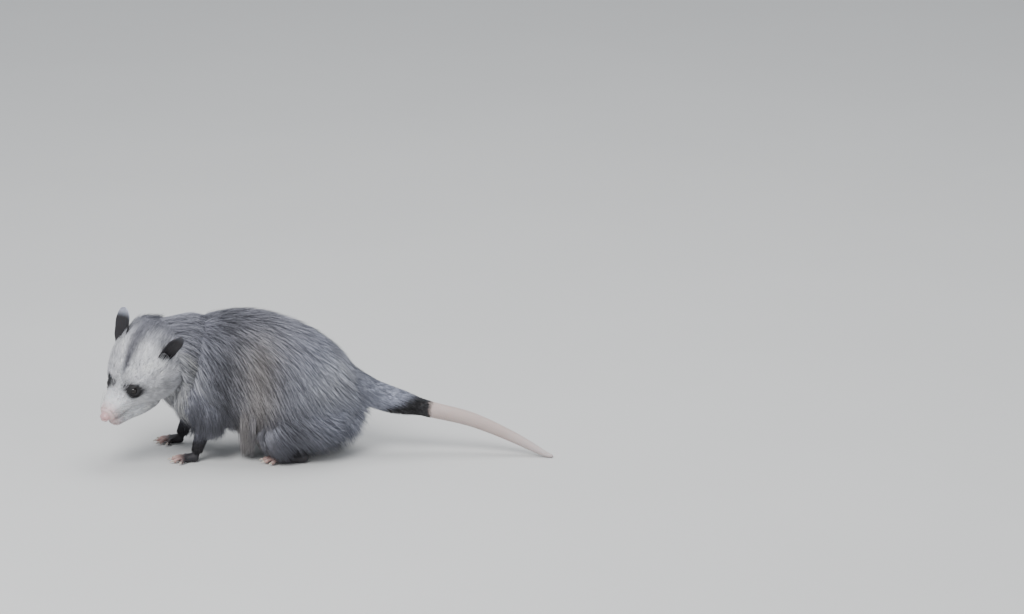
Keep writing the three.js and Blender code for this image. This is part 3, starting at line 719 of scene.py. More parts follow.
class Paint:
    """One material. Its fixed values are set on the shader's own sockets."""

    def __init__(self, name, **fixed):
        self.material = bpy.data.materials.new(name)
        self.material.use_nodes = True
        self.tree = self.material.node_tree
        self.shader = self.tree.nodes["Principled BSDF"]
        self.set(**fixed)

    def node(self, kind, settings=None, sockets=None, output=0):
        made = self.tree.nodes.new("ShaderNode" + kind)
        for key, value in (settings or {}).items():
            setattr(made, key, value)
        for key, value in (sockets or {}).items():
            self.feed(made.inputs[key], value)
        return Wire(self, made.outputs[output])

    def feed(self, socket, value):
        if isinstance(value, Wire):
            self.tree.links.new(value.socket, socket)
        else:
            socket.default_value = value

    def set(self, **sockets):
        for key, value in sockets.items():
            self.feed(self.shader.inputs[key.replace("_", " ")], value)
        return self.material

    def read(self, name, output=2):
        """A number stored at the piece's points, or with output 0 a colour."""
        return self.node("Attribute", {"attribute_name": name}, output=output)

    def noise(self, scale, detail=3.0):
        """Noise in the piece's own space."""
        sockets = {"Vector": self.node("TexCoord", output=3), "Scale": scale, "Detail": detail}
        return self.node("TexNoise", None, {**sockets, "Roughness": 0.55})

    def colours(self, share, first, second):
        """Two colours mixed by a share."""
        return self.node("Mix", {"data_type": "RGBA"}, {0: share, 6: first, 7: second}, output=2)

    def mottled(self, share, value):
        """The markings, brought to this value by a share."""
        tint = self.read("Tint", 0)
        return self.colours(share, tint, self.node("HueSaturation", None, {"Color": tint, "Value": value}))

    def bump(self, height, strength, distance):
        sockets = {"Height": height, "Strength": strength, "Distance": distance}
        self.set(Normal=self.node("Bump", None, sockets))


def put(piece, material, slot, *nodes):
    """Gives a piece its material, and puts it on the body in the stead of its nodes. The slot is not used."""
    piece.data.materials.clear()
    piece.data.materials.append(material)
    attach(piece, "root")
    if nodes:
        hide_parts(*nodes)


def skin_paint():
    """Skin, finely pored, shiny on the nose, and ringed with rows of scales on the tail."""
    paint = Paint("skin", Subsurface_Weight=0.08, Subsurface_Scale=0.002)
    ring, bare = paint.read("Ring"), paint.read("Bare")
    stagger = (ring.sum("FLOOR") * 0.5).sum("FRACT")
    across = (paint.read("Column") + stagger).sum("FRACT") - 0.5
    along = ring.sum("FRACT") - 0.5
    scale_height = 1 - (along * along * 2.6 + across * across * 2.2)
    groove = (scale_height.sum("LESS_THAN", 0.52) * bare) * 0.5
    paint.bump(scale_height * bare + paint.noise(1500.0, 2.0) * 0.18, 0.55, 0.0006)
    tint = paint.colours(groove, paint.mottled(paint.noise(120.0), 0.72), (0.30, 0.21, 0.20, 1))
    return paint.set(Base_Color=tint, Roughness=0.62 - paint.read("Gloss") * 0.34)


def tree_of(points, indices):
    """A tree that finds the nearest of these points."""
    tree = KDTree(len(indices))
    for index in indices:
        tree.insert(Vector(points[index]), int(index))
    tree.balance()
    return tree


points = points_of(skin)
SCALE_ROW, SCALES_ROUND = 2.1, 22
tail_tree = tree_of(tail.path, range(len(tail.path)))
bare = ease(points[:, 0], *BARE_FROM)
ring, column = np.zeros(len(points)), np.zeros(len(points))
for index in np.flatnonzero(points[:, 0] > 240):
    nearest = tail_tree.find(Vector(points[index]))[1]
    off = points[index] - tail.path[nearest]
    ahead = tail.heading[nearest]
    side = np.cross(ahead, [0, 0, 1.0])
    ring[index] = (nearest / LINE_STEPS * tail.length + off @ ahead) / SCALE_ROW
    column[index] = (math.atan2(off @ side, off[2]) / TURN + 0.5) * SCALES_ROUND
tints = markings_and_shade(points)
local = in_head(points)
head_share = face_share(points)
on_nose = head_share * (1 - ease(local[:, 0], 3.5, 6.0))
tints = mix(tints, np.array([0.62, 0.38, 0.38]), on_nose * 0.8)
for side in (-1, 1):
    v = local - EYE * np.array([1, side, 1])
    near_eye = (1 - ease(np.linalg.norm(v, axis=1), 7.0, 8.6)) * head_share
    tints = mix(tints, BLACK, near_eye)
tints = mix(tints, BLACK, 1 - ease(ear_opening(points), 7.0, 8.5))
lips = bump_at(local[:, 2], MOUTH_LINE(local[:, 0]), 0.8) * head_share * (1 - ease(local[:, 0], 42, 52))
tints = mix(tints, np.array([0.10, 0.06, 0.06]), lips * 0.85)
add_tint(skin, tints, {"Ring": ring, "Column": column, "Bare": bare, "Gloss": on_nose})
limbs = [f"{end}_{part}_{side}" for end in ("fore", "hind") for part in ("leg", "foot") for side in arms]
flesh = ["head", "nose", "neck", "torso", "tail_base", "tail_root", "tail_middle", "tail_tip"]
put(skin, skin_paint(), "body_fur", *flesh, *limbs)

# Eyes, wet black beads set in the lids, each a globe with a slightly domed cornea.
EYE_BLACK = (0.004, 0.0035, 0.004, 1)
eye_paint = Paint("eye", Roughness=0.06, Coat_Weight=0.4, Coat_Roughness=0.02, IOR=1.35)
eye_glow = eye_paint.colours(eye_paint.noise(260.0), EYE_BLACK, (0.014, 0.009, 0.007, 1))
eye_material = eye_paint.set(Base_Color=eye_glow)
for name, side in (("eye_left", -1), ("eye_right", 1)):
    look = Vector(HEAD @ eye_frame(side)[0])
    bpy.ops.object.select_all(action="DESELECT")
    bpy.ops.mesh.primitive_uv_sphere_add(segments=48, ring_count=32, radius=EYE_RADIUS * MM)
    eye = bpy.context.object
    eye.name = name + "_globe"
    for vertex in eye.data.vertices:
        dome = max(0.0, vertex.co.normalized().z - 0.72) / 0.28
        vertex.co *= 1 + 0.05 * dome * dome * (3 - 2 * dome)
    eye.data.transform(look.to_track_quat("Z", "Y").to_matrix().to_4x4())
    eye.data.transform(Matrix.Translation(Vector(placed(eye_at(side)))))
    eye.data.shade_smooth()
    put(eye, eye_material, "eye", name)

# Ears, thin bare black leather rolled into a cup at the root and open above, with a pale tip that is
# much paler on the far ear with painted sheen, and a few folds inside.
EAR_HEIGHT, EAR_HALF_WIDTH, EAR_SUNK = 42, 15, 9
EAR_ROWS, EAR_COLUMNS = 40, 32
ear_width = through(
    [0, 0.6], [0.15, 0.76], [0.35, 0.92], [0.55, 1], [0.78, 0.98], [0.93, 0.72], [1, 0.35]
)
ear_roll = through([0, 1.5], [0.4, 1.1], [1, 0.55])
ear_thickness = through([0, 2.6], [0.3, 1.3], [1, 0.6])
ear_paint = Paint("ear_leather", Subsurface_Weight=0.05, Subsurface_Scale=0.002)
veins = ear_paint.noise(420.0, 4.0)
ear_paint.bump(veins + ear_paint.noise(2600.0) * 0.4, 0.4, 0.0004)
ear_material = ear_paint.set(Base_Color=ear_paint.mottled(veins, 1.7), Roughness=0.5 + veins * 0.12)


def ear_points(side, root, axis, facing, opened):
    """Points over the front and back of an ear's blade, row by row from its root."""
    up, front = ear_frame(axis, facing)
    across = np.cross(up, front)
    rise = (np.arange(EAR_ROWS + 1) / EAR_ROWS)[:, None, None]
    column = np.arange(EAR_COLUMNS + 1)[None, :, None]
    face = np.array([1, -1])[None, None, :]
    roll = ear_roll(rise)
    turn = (2 * column / EAR_COLUMNS - 1) * roll
    half = EAR_HALF_WIDTH * opened * ear_width(rise) * (1 + 0.02 * np.sin(rise * 19 + turn * 2))
    radius = half / np.sin(np.minimum(roll, math.pi / 2))
    rim = np.where((column == 0) | (column == EAR_COLUMNS), 0.45, 1)
    fold = 0.55 * bump_at(turn / roll, 0.35, 0.12) * (1 - ease(rise, 0.45, 0.8))
    fold = fold + 0.45 * bump_at(turn / roll, -0.3, 0.1) * (1 - ease(rise, 0.4, 0.7))
    off = radius + face * ear_thickness(rise) * rim / 2 - fold
    height = (EAR_HEIGHT + EAR_SUNK) * rise - EAR_SUNK - 2.5 * rise * np.abs(turn)
    points = np.array(root, float) + up * height[..., None]
    points = points + across * (side * off * np.sin(turn))[..., None]
    points = points + front * (radius * 0.8 - off * np.cos(turn))[..., None]
    return points.reshape(-1, 3)


def strip(first, second):
    """Faces between two rows of points."""
    return [tuple(map(int, face)) for face in zip(first, first[1:], second[1:], second)]


spots = np.arange((EAR_ROWS + 1) * (EAR_COLUMNS + 1) * 2).reshape(EAR_ROWS + 1, EAR_COLUMNS + 1, 2)
ear_faces = [face for rim in (spots[:, 0], spots[:, -1], spots[0], spots[-1]) for face in strip(*rim.T)]
for row, above in zip(spots, spots[1:]):
    ear_faces += strip(row[:, 0], above[:, 0]) + strip(above[:, 1], row[:, 1])
for name, (side, root, axis, facing, opened) in EARS.items():
    blade = ear_points(side, root, axis, facing, opened)
    ear = new_piece(name + "_leather", on_head(blade), ear_faces)
    height = (blade - np.array(root)) @ unit(np.array(axis, float)) / EAR_HEIGHT
    # The tip pales to a bluish grey: the ear's own pale tip, and on the far ear painted sheen as well.
    pale = ease(height, 0.62, 0.95) * (0.85 if name == "ear_right" else 0.12)
    add_tint(ear, mix(np.broadcast_to(BLACK * 1.3, blade.shape), np.array([0.42, 0.44, 0.52]), pale))
    put(ear, ear_material, "ear_skin", name)

# Claws, curved points of pale horn, one on every digit but the hind thumbs.
claw_paint = Paint("claw_horn", Roughness=0.35, Subsurface_Weight=0.15, Subsurface_Scale=0.001)
horn = claw_paint.colours(claw_paint.noise(900.0), (0.42, 0.34, 0.28, 1), (0.62, 0.55, 0.48, 1))
claw_material = claw_paint.set(Base_Color=horn)
for name, (_, claws) in feet.items():
    piece = new_piece("claws_" + name, *joined([claw.shell(12, 10) for claw in claws]))
    put(piece, claw_material, "foot_skin")

# The coat, of tapered tufts that are rooted in the skin and follow its lie: dense woolly underfur,
# and longer, paler guard hairs that stand over it and bunch into points. Each tuft is a thin solid
# blade, and tufts of one bunch lean together and have one shade.
COAT = 14
THIN = 1.0
UV_PATCH = 0.003
FLOOR_GAP = (0.8, 3.0)
EAR_CLEAR, EYE_CLEAR = 10, 7.4
BLADE_STOPS = {3: (0.0, 0.5, 1.0), 4: (0.0, 0.36, 0.7, 1.0)}
GROWN = []
rng = np.random.default_rng(20)
skin_tree = BVHTree.FromObject(skin, bpy.context.evaluated_depsgraph_get())
fur_paint = Paint("fur", Roughness=0.7)
fur_material = fur_paint.set(Base_Color=fur_paint.mottled(fur_paint.noise(700.0, 2.0), 0.8))


def spread(count, low, high):
    return rng.uniform(low, high, count)


def scatter(form, count, shares, angles):
    """Even random places on a form, as shares and angles."""
    share, angle = rng.uniform(*shares, count * 5), rng.uniform(*angles, count * 5)
    step = 0.004
    along = form.at(share + step, angle) - form.at(share - step, angle)
    round_it = form.at(share, angle + step) - form.at(share, angle - step)
    area = np.linalg.norm(np.cross(along, round_it), axis=1)
    kept = np.flatnonzero(rng.random(count * 5) < area / np.percentile(area, 98))[:count]
    return share[kept], angle[kept]


def tuft_path(form, share, angle, lie, u, to_body):
    """Where the tufts have got to at u of their length."""
    s = share + lie["reach"] * u / form.length
    a = angle - np.cos(angle) * lie["fall"] * u / form.radius + lie["swing"] * u / form.radius
    coat = lie["tip"] * (1 - (1 - u) ** 1.6) - 0.6 * (1 - u)
    edge = np.clip(s, 0.05, 0.95)
    here = form.at(edge, a, coat)
    ahead = unit(here - form.at(edge - 0.02 * np.sign(lie["reach"]), a, coat))
    here = to_body(here + ahead * (np.abs(s - edge) * form.length)[:, None])
    here[:, 2] -= lie["drop"] * u**1.5
    return here


def in_the_open(points):
    """Where no eye and no ear opening is."""
    clear = ear_opening(points) > EAR_CLEAR
    for side in (-1, 1):
        clear &= np.linalg.norm(points - eye_at(side), axis=1) > EYE_CLEAR
    return clear


def exposed(roots, slack):
    """Which roots lie on the outside of the skin, and how far off it they are."""
    kept, moves = [], []
    clear = in_the_open(roots)
    for index, root in enumerate(placed(roots)):
        spot, _, _, _ = skin_tree.find_nearest(Vector(root), slack * MM)
        if spot is not None and clear[index]:
            kept.append(index)
            moves.append((np.array(spot) - root) / MM)
    return np.array(kept, int), np.array(moves).reshape(-1, 3)


def clear_of_skin(points, height):
    """The points, moved out where they lie lower over the skin than this height."""
    moved = points.copy()
    for index, point in enumerate(placed(points)):
        spot, out, _, _ = skin_tree.find_nearest(Vector(point), 0.02)
        if spot is not None:
            short = height[index] - (Vector(point) - spot).dot(out) / MM
            if short > 0:
                moved[index] += np.array(out) * short
    return moved


def patches(points, size):
    """Smooth noise between -1 and 1, in patches of about this size."""
    wave = np.array([[0.9, 0.3, 0.5], [-0.4, 0.8, 0.6], [0.3, -0.7, 0.9], [0.8, 0.6, -0.5]])
    wave = wave * (TURN / size)
    phase = np.sin(points @ wave.T * 0.53 + 1.7) * 1.6
    return np.sin(points @ wave.T + phase[:, ::-1]).mean(axis=1) * 1.4


def bunched(roots, clump, pull):
    """Which tuft each tuft leans towards, and the lean."""
    leaders = rng.choice(len(roots), max(1, int(len(roots) / clump**2)), replace=False)
    bunches = tree_of(roots, leaders)
    leader = np.array([bunches.find(Vector(root))[1] for root in roots])
    return leader, (roots[leader] - roots) * pull


def shading(roots, leader):
    """How light each tuft is, by its bunch and by the larger waves of the coat."""
    own = rng.normal(1, 0.10, len(roots))[leader]
    return (own * (1 + 0.20 * patches(roots, 52) + 0.12 * patches(roots, 19)))[:, None]


def blades(name, roots, centre_line, inward, home, wide, tints, slot):
    """A piece of closed, three-sided, tapered blades along their centre lines."""
    count, stops = len(roots), len(centre_line)
    columns, bake, shades = [], [], []
    for k, u in enumerate(BLADE_STOPS[stops]):
        here = centre_line[k]
        ahead = unit(centre_line[min(k + 1, stops - 1)] - centre_line[max(k - 1, 0)])
        aside = unit(np.cross(ahead, inward))
        over = np.cross(aside, ahead)
        half = (wide / 2 * (0.75, 1.0, 0.66)[min(k, 2)])[:, None]
        rows = [(here + aside * half, 0.5), (here + over * (half * 0.55), 0.0), (here - aside * half, -0.5)]
        if k == stops - 1:
            rows = [(here, 0.0)]
        for spot, x in rows:
            columns.append(spot)
            bake.append(0.02 + 0.96 * home + np.array([x, u - 0.5]) * UV_PATCH)
            shades.append(mix(*tints, np.full(count, u)))
    size = len(columns)
    pattern = [(0, 2, 1)]
    for a in range(0, size - 4, 3):
        for i, j in ((0, 1), (1, 2), (2, 0)):
            pattern += [(a + i, a + j, a + 3 + j), (a + i, a + 3 + j, a + 3 + i)]
    pattern += [(size - 4 + i, size - 4 + j, size - 1) for i, j in ((0, 1), (1, 2), (2, 0))]
    tris = (np.arange(count)[:, None, None] * size + np.array(pattern)[None]).reshape(-1, 3)
    verts, bake, shades = (np.stack(rows, 1).reshape(count * size, -1) for rows in (columns, bake, shades))
    mesh = bpy.data.meshes.new(name)
    mesh.vertices.add(len(verts))
    mesh.vertices.foreach_set("co", placed(verts).astype(np.float32).ravel())
    mesh.loops.add(tris.size)
    mesh.loops.foreach_set("vertex_index", tris.astype(np.int32).ravel())
    mesh.polygons.add(len(tris))
    mesh.polygons.foreach_set("loop_start", np.arange(0, tris.size, 3, dtype=np.int32))
    mesh.update(calc_edges=True)
    mesh.shade_smooth()
    layer = mesh.uv_layers.new(name="OFBake")
    layer.data.foreach_set("uv", bake[tris.ravel()].astype(np.float32).ravel())
    piece = bpy.data.objects.new(name, mesh)
    bpy.context.scene.collection.objects.link(piece)
    add_tint(piece, np.clip(shades, 0, 0.92))
    put(piece, fur_material, slot)
    GROWN.append((roots, centre_line[-1] - roots))


def coat_piece(
    name, form, count, lies, kind, shares, angles=(0.0, TURN), clump=5.0, slot="body_fur",
    to_body=np.asarray, slack=2.6, blend=0.0,
):
    """Tufts of one kind, scattered on a form as lies says. Their tips take on the markings and painted
    shade of where they lie by blend."""
    share, angle = scatter(form, int(count * THIN), shares, angles)
    lie = {"drop": 0.0, "fall": 0.0, "swing": 0.0, **lies(kind, share, angle, len(share))}
    kept, moves = exposed(to_body(form.at(share, angle)), slack)
    lie = {key: np.broadcast_to(np.asarray(value, float), share.shape)[kept] for key, value in lie.items()}
    share, angle = share[kept], angle[kept]
    roots = to_body(form.at(share, angle)) + moves
    lowest = spread(len(roots), *FLOOR_GAP)
    leader, gather = bunched(roots, clump, kind.pull)
    centre_line = []
    for u in BLADE_STOPS[kind.stops]:
        here = tuft_path(form, share, angle, lie, u, to_body) + moves + gather * u**1.4
        if u > 0:
            here = clear_of_skin(here, np.minimum(0.3 + 0.45 * lie["tip"], 4.0) * u)
            here[:, 2] = np.maximum(here[:, 2], lowest)
        centre_line.append(here)
    inward = unit(roots - (roots + to_body(form.at(share, angle + math.pi))) / 2)
    shade = shading(roots, leader)
    root_tint, tip_tint = kind.tints(roots, len(roots))
    if blend:
        tip_tint = np.maximum(tip_tint + (markings_and_shade(centre_line[-1]) - markings_and_shade(roots)) * blend, 0.006)
    home = np.column_stack([share, angle % TURN / TURN])
    blades(name, roots, centre_line, inward, home, lie["wide"], (root_tint * shade, tip_tint * shade), slot)


def under_tints(roots, count):
    """Underfur: pale at the root and darker at the tip."""
    tint = markings_and_shade(roots) * spread(count, 0.8, 1.2)[:, None]
    return tint * 1.1, tint * 0.9


def guard_tints(roots, count):
    """Guard hairs: mostly pale, some dark."""
    base = markings_and_shade(roots)
    pale = rng.random(count) < 0.6
    bright = np.clip(base * 1.4 + 0.07, 0, 0.82)
    tint = np.where(pale[:, None], bright, base * 0.65) * spread(count, 0.82, 1.12)[:, None]
    return tint * 0.75, tint


def face_tints(roots, count):
    """Face: even, a little darker at the root."""
    tint = markings_and_shade(roots) * spread(count, 0.9, 1.06)[:, None]
    return tint * 0.88, tint


def leg_tints(roots, count):
    """Legs and tail: underfur with a few pale hairs above."""
    tint = markings_and_shade(roots) * spread(count, 0.7, 1.3)[:, None]
    pale = (rng.random(count) < 0.3) * ease(roots[:, 2], 34, 60) * 0.1
    return tint * 0.9, tint + pale[:, None]


def sunk(angle):
    return np.maximum(0, -np.sin(angle))


Kind = namedtuple("Kind", "tints stops pull long wide tip", defaults=(1.0, 1.0, 1.0))
KINDS = {
    "under": Kind(under_tints, 3, 0.25, 1.0, 1.15, 0.95),
    "guard": Kind(guard_tints, 4, 0.42, 1.3, 0.68, 1.3),
}


def trunk_lies(kind, share, angle, n):
    below = sunk(angle)
    tucked = 1 - 0.85 * bump_at(share, 0.32, 0.15) * (angle > math.pi)
    tall = (0.55 + 0.45 * ease(share, 0.0, 0.3)) * (0.4 + 0.6 * tucked)
    return {
        "reach": spread(n, 18, 28) * kind.long * (1 - 0.5 * below),
        "fall": spread(n, 12, 26) * kind.long,
        "swing": rng.normal(0, 3.0, n) + 5.5 * patches(trunk.at(share, angle), 60),
        "drop": (3 + 20 * below**0.7 * tucked + 5 * np.abs(np.cos(angle))) * spread(n, 0.6, 1.3) * kind.long,
        "tip": spread(n, 0.7, 0.98) * COAT * kind.tip * tall,
        "wide": spread(n, 0.85, 1.35) * kind.wide,
    }


def neck_lies(kind, share, angle, n):
    tall = 8.5 + 3 * (1 - ease(share, 0.2, 0.7)) - 5.5 * ease(share, 0.5, 0.85)
    return {
        "reach": -spread(n, 20, 32) * kind.long,
        "fall": spread(n, 4, 12),
        "swing": rng.normal(0, 2.2, n),
        "drop": (spread(n, 2, 6) + 12 * sunk(angle)) * kind.long,
        "tip": spread(n, 0.7, 0.98) * tall * kind.tip,
        "wide": spread(n, 0.8, 1.25) * kind.wide,
    }


def chest_lies(kind, share, angle, n):
    return {
        "reach": spread(n, 20, 30) * kind.long,
        "swing": rng.normal(0, 2.5, n),
        "drop": spread(n, 4, 10),
        "tip": spread(n, 0.6, 0.95) * 9 * kind.tip,
        "wide": spread(n, 0.8, 1.3) * kind.wide,
    }


def flank_tuft_lies(kind, share, angle, n):
    """The long pale tuft that hangs before the knee on the near side, drawn in to its tip."""
    return {
        "reach": (0.462 - share) * 150 + spread(n, -3, 5),
        "fall": spread(n, 0, 8),
        "swing": rng.normal(0, 1.2, n),
        "drop": 10 + 38 * rng.random(n) ** 1.5,
        "tip": spread(n, 0.4, 0.9) * COAT,
        "wide": spread(n, 0.8, 1.25) * kind.wide,
    }


def thigh_lies(kind, share, angle, n):
    return {
        "reach": -spread(n, 14, 22) * kind.long,
        "fall": spread(n, 2, 8),
        "swing": rng.normal(0, 2.4, n),
        "drop": spread(n, 12, 22) * kind.long,
        "tip": spread(n, 0.6, 0.95) * 9 * kind.tip,
        "wide": spread(n, 0.8, 1.3) * kind.wide,
    }


def limb_lies(kind, share, angle, n):
    upper = 1 - ease(share, 0.25, 0.75)
    return {
        "reach": 4 + 18 * upper * spread(n, 0.7, 1.2),
        "swing": rng.normal(0, 1.6, n),
        "drop": (2 + 12 * upper) * spread(n, 0.7, 1.2),
        "tip": (1.3 + 8 * upper) * spread(n, 0.7, 1.1),
        "wide": 0.65 + 0.5 * upper,
    }


def head_lies(kind, share, angle, n):
    """Short and close on the face, longer on the cheeks and in the ruff behind them."""
    back = share * SKULL_LENGTH + SKULL_FRONT
    grown = ease(back, 15, 50)
    ruff = ease(back, 60, 108)
    cheek = bump_at(np.sin(angle), -0.3, 0.5) * ease(back, 42, 66)
    high = ease(np.sin(angle), 0.75, 0.98) * ruff
    crest = bump_at(np.cos(angle), 0.62, 0.24) * (np.sin(angle) > 0) * ease(back, 78, 100)
    tall = 0.9 + 1.3 * grown + 4 * ruff + 2.6 * cheek + 3.6 * crest - 2.2 * high
    return {
        "reach": (1.8 + 2.6 * grown + 18 * ruff + 4 * cheek) * spread(n, 0.8, 1.25),
        "fall": rng.normal(0, 0.4, n) + 1.5 * ruff + 3 * cheek,
        "swing": rng.normal(0, 0.4, n) * (1 + 3 * ruff),
        "drop": 2.5 * cheek * spread(n, 0.5, 1.2),
        "tip": tall * spread(n, 0.7, 1.15),
        "wide": 0.36 + 0.22 * ease(back, 20, 60) + 0.4 * ruff,
    }


def jaw_lies(kind, share, angle, n):
    rear = ease(share, 0.3, 0.9)
    return {
        "reach": 3 + 8 * rear * spread(n, 0.8, 1.2),
        "swing": rng.normal(0, 0.4, n),
        "tip": (1.0 + 3.0 * rear) * spread(n, 0.7, 1.1),
        "wide": 0.42 + 0.35 * share,
    }


def tail_lies(kind, share, angle, n):
    furred = 1 - ease(share, 0.2, 0.41)
    return {
        "reach": 4 + 18 * furred * spread(n, 0.7, 1.2),
        "swing": rng.normal(0, 1.2, n),
        "tip": (0.6 + 4.6 * furred) * spread(n, 0.7, 1.1),
        "drop": 2 * furred,
        "wide": 0.5 + 0.5 * furred,
    }


for part, first in (("back_far", 0.0), ("back_near", 0.25), ("flank_near", 0.5), ("flank_far", 0.75)):
    for name, kind in KINDS.items():
        count = 11000 if name == "under" else 9000
        coarse = kind if "near" in part else kind._replace(stops=3)
        quarter = (first * TURN, (first + 0.25) * TURN)
        coat_piece(f"{part}_{name}", trunk, count, trunk_lies, coarse, (0.03, 0.99), quarter)
for name, kind in KINDS.items():
    count = 9500 if name == "under" else 7000
    coat_piece(f"neck_{name}", neck, count, neck_lies, kind, (0.06, 0.99), blend=0.6)
    coat_piece(f"chest_{name}", chest, 2600, chest_lies, kind, (0.12, 0.98))
for name, kind in KINDS.items():
    drawn_in = kind._replace(stops=4, pull=0.8)
    under = (math.pi * 1.1, math.pi * 1.38)
    coat_piece(f"flank_tuft_{name}", trunk, 1000, flank_tuft_lies, drawn_in, (0.40, 0.53), under, clump=7.0)
for side in ("left", "right"):
    for name, kind in KINDS.items():
        count = 3600 if name == "under" else 2600
        coat_piece(f"thigh_{side}_{name}", thighs[side], count, thigh_lies, kind, (0.03, 0.97))
    for part, form, count in (("arm", arms[side], 4200), ("shank", shanks[side], 2400)):
        short = Kind(leg_tints, 3, 0.35)
        coat_piece(f"{part}_{side}", form, count, limb_lies, short, (0.03, 0.94), slot="leg_fur", slack=4.5)
for part, angles in (("head_far", (-0.25 * TURN, 0.25 * TURN)), ("head_near", (0.25 * TURN, 0.75 * TURN))):
    coat_piece(
        part, skull, 13500, head_lies, Kind(face_tints, 3, 0.3), (0.035, 0.97), angles,
        clump=4.0, slot="face_fur", to_body=on_head, blend=0.9,
    )
coat_piece(
    "jaw_fur", jaw, 3800, jaw_lies, Kind(face_tints, 3, 0.25), (0.05, 0.97), (math.pi, TURN),
    slot="face_fur", to_body=on_head,
)
coat_piece("tail_fur", tail, 6500, tail_lies, Kind(leg_tints, 3, 0.3), (0.02, 0.425))


def on_skin(count):
    """Even random points on the skin, and the way out of it at each."""
    skin.data.calc_loop_triangles()
    corners = np.empty(len(skin.data.loop_triangles) * 3, np.int32)
    skin.data.loop_triangles.foreach_get("vertices", corners)
    a, b, c = (points_of(skin)[corners[k::3]] for k in range(3))
    cross = np.cross(b - a, c - a)
    area = np.linalg.norm(cross, axis=1)
    pick = rng.choice(len(area), count, p=area / area.sum())
    u, v = rng.random((2, count, 1))
    u, v = np.where(u + v > 1, 1 - u, u), np.where(u + v > 1, 1 - v, v)
    return a[pick] + (b - a)[pick] * u + (c - a)[pick] * v, unit(cross[pick])


def fill(name, spots, out, home, spacing, wide, tints, slot):
    """Tufts wherever the ones so far leave the skin bare, each leaning as its neighbours do."""
    near = [grown_tree.find_n(Vector(spot), 6) for spot in spots]
    kept = np.array([found[1][2] for found in near]) > spacing
    leans = np.array([grown_leans[[index for _, index, _ in found]].mean(axis=0) for found in near])
    spots, out, leans, home = spots[kept], out[kept], leans[kept], home[kept]
    rise = (leans * out).sum(axis=1)
    along = leans - out * rise[:, None]
    rise = np.clip(rise, 1.2, 8)
    leader, gather = bunched(spots, 4.0, 0.25)
    lowest = spread(len(spots), *FLOOR_GAP)
    centre_line = []
    for u in BLADE_STOPS[3]:
        height = rise * (1 - (1 - u) ** 1.6) - 0.5 * (1 - u)
        here = spots + along * u + out * height[:, None] + gather * u**1.4
        here[:, 2] = np.maximum(here[:, 2], lowest)
        centre_line.append(here)
    shade = shading(spots, leader)
    root_tint, tip_tint = tints(spots, len(spots))
    wide = np.full(len(spots), wide)
    blades(name, spots, centre_line, out, home, wide, (root_tint * shade, tip_tint * shade), slot)


grown_roots, grown_leans = (np.vstack(rows) for rows in zip(*GROWN))
grown_tree = tree_of(grown_roots, range(len(grown_roots)))
spots, out = on_skin(int(70000 * THIN))
back, right, up = in_head(spots).T
furred = in_the_open(spots) & (spots[:, 2] > 24) & (spots[:, 0] < 200)
head = face_share(spots)
on_face = furred & (head > 0.5) & (back > 8) & (np.abs(up - MOUTH_LINE(back)) > 1.2)
around = np.column_stack(
    [(spots[:, 0] + 140) / 360, np.arctan2(spots[:, 1], spots[:, 2] - 95) / TURN + 0.5]
)
around_head = np.column_stack([back / 150, np.arctan2(right, up) / TURN + 0.5])
for name, here, home, spacing, wide, tints, slot in (
    ("fill_body", furred & (head < 0.5), around, 1.9, 1.1, under_tints, "body_fur"),
    ("fill_head", on_face, around_head, 1.3, 0.6, face_tints, "face_fur"),
):
    fill(name, spots[here], out[here], home[here], spacing, wide, tints, slot)
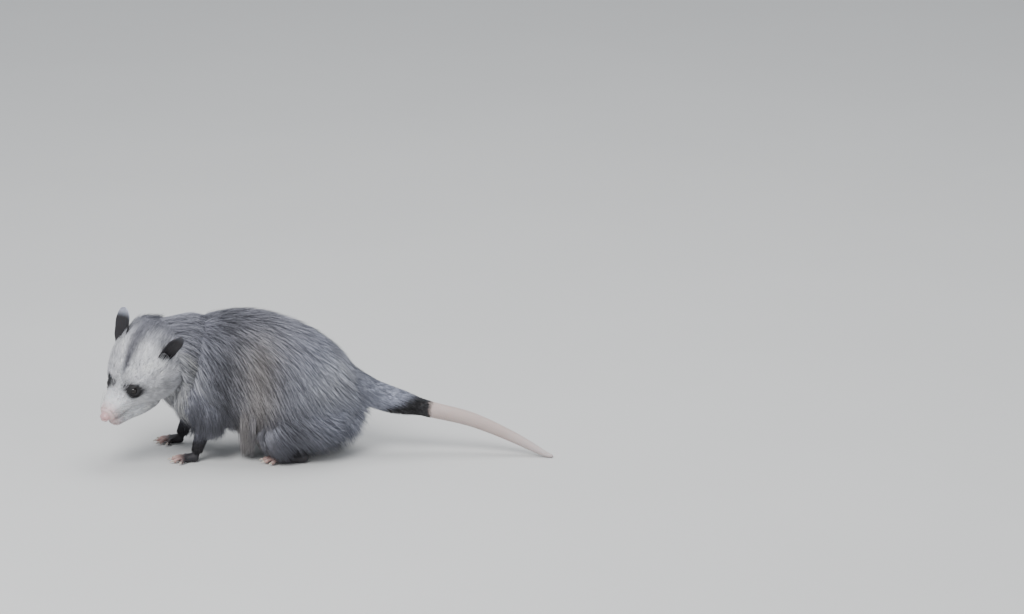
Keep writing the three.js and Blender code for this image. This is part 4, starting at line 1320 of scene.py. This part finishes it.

# Whiskers, stiff tapered hairs from the pads beside the nose, in four rows on each side.
WHISKERS = [(back, row) for row in range(4) for back in np.linspace(9, 24, 5)]
whisker_radius = through([0, 0.16], [1, 0.04])
whisker_shells = []
for side in (-1, 1):
    for back, row in WHISKERS:
        angle = 0.35 - 0.3 * row
        share = (back - SKULL_FRONT) / SKULL_LENGTH
        start = skull.at(share, angle if side > 0 else math.pi - angle, 0.2)
        out = np.array([0.55 + rng.uniform(-0.1, 0.1), side, 0.25 - 0.3 * row + rng.uniform(-0.1, 0.1)])
        length = rng.uniform(17, 30)
        out = unit(out) * length
        bend = np.array([0.55, -side * 0.12, -0.35]) * length
        line = [start, start + out * 0.4 + bend * 0.12, start + out * 0.75 + bend * 0.5]
        points, faces = Form(line, whisker_radius, whisker_radius, blunt=(0.02, 0.02)).shell(10, 5)
        whisker_shells.append((on_head(points), faces))
hair_paint = Paint("whisker", Roughness=0.4)
hair_tint = hair_paint.colours(hair_paint.noise(90.0), (0.02, 0.02, 0.02, 1), (0.45, 0.44, 0.43, 1))
put(new_piece("whiskers", *joined(whisker_shells)), hair_paint.set(Base_Color=hair_tint), "face_fur")

# Floor and light: a plain pale floor under a large soft light from above and in front, with a
# weaker one from behind.
bpy.ops.object.select_all(action="DESELECT")
bpy.ops.mesh.primitive_plane_add(size=30, location=(0, 6, cad_box[0][2]))
floor = bpy.context.object
floor.name = "floor"
floor_paint = Paint("floor", Roughness=0.8)
floor_tint = floor_paint.colours(floor_paint.noise(3.0), (0.60, 0.60, 0.59, 1), (0.64, 0.64, 0.63, 1))
floor.data.materials.append(floor_paint.set(Base_Color=floor_tint))


LIGHTS_AIM = Vector((0.0, 0.0, 0.08))


def soft_light(name, place, size, power):
    """A round area light that looks at the model."""
    data = bpy.data.lights.new(name, "AREA")
    data.shape = "DISK"
    data.size = size
    data.energy = power
    light = bpy.data.objects.new(name, data)
    light.location = place
    light.rotation_euler = (LIGHTS_AIM - Vector(place)).to_track_quat("-Z", "Y").to_euler()
    bpy.context.scene.collection.objects.link(light)


soft_light("key_light", (-0.9, -1.6, 2.4), 1.6, 76)
soft_light("top_light", (0.4, 0.6, 2.6), 1.8, 32)
soft_light("fill_light", (2.2, -1.8, 1.2), 1.6, 16)
world = bpy.data.worlds.new("world")
bpy.context.scene.world = world
world.use_nodes = True
sky = world.node_tree.nodes["Background"].inputs
sky["Color"].default_value = (0.86, 0.90, 0.96, 1)
sky["Strength"].default_value = 0.7
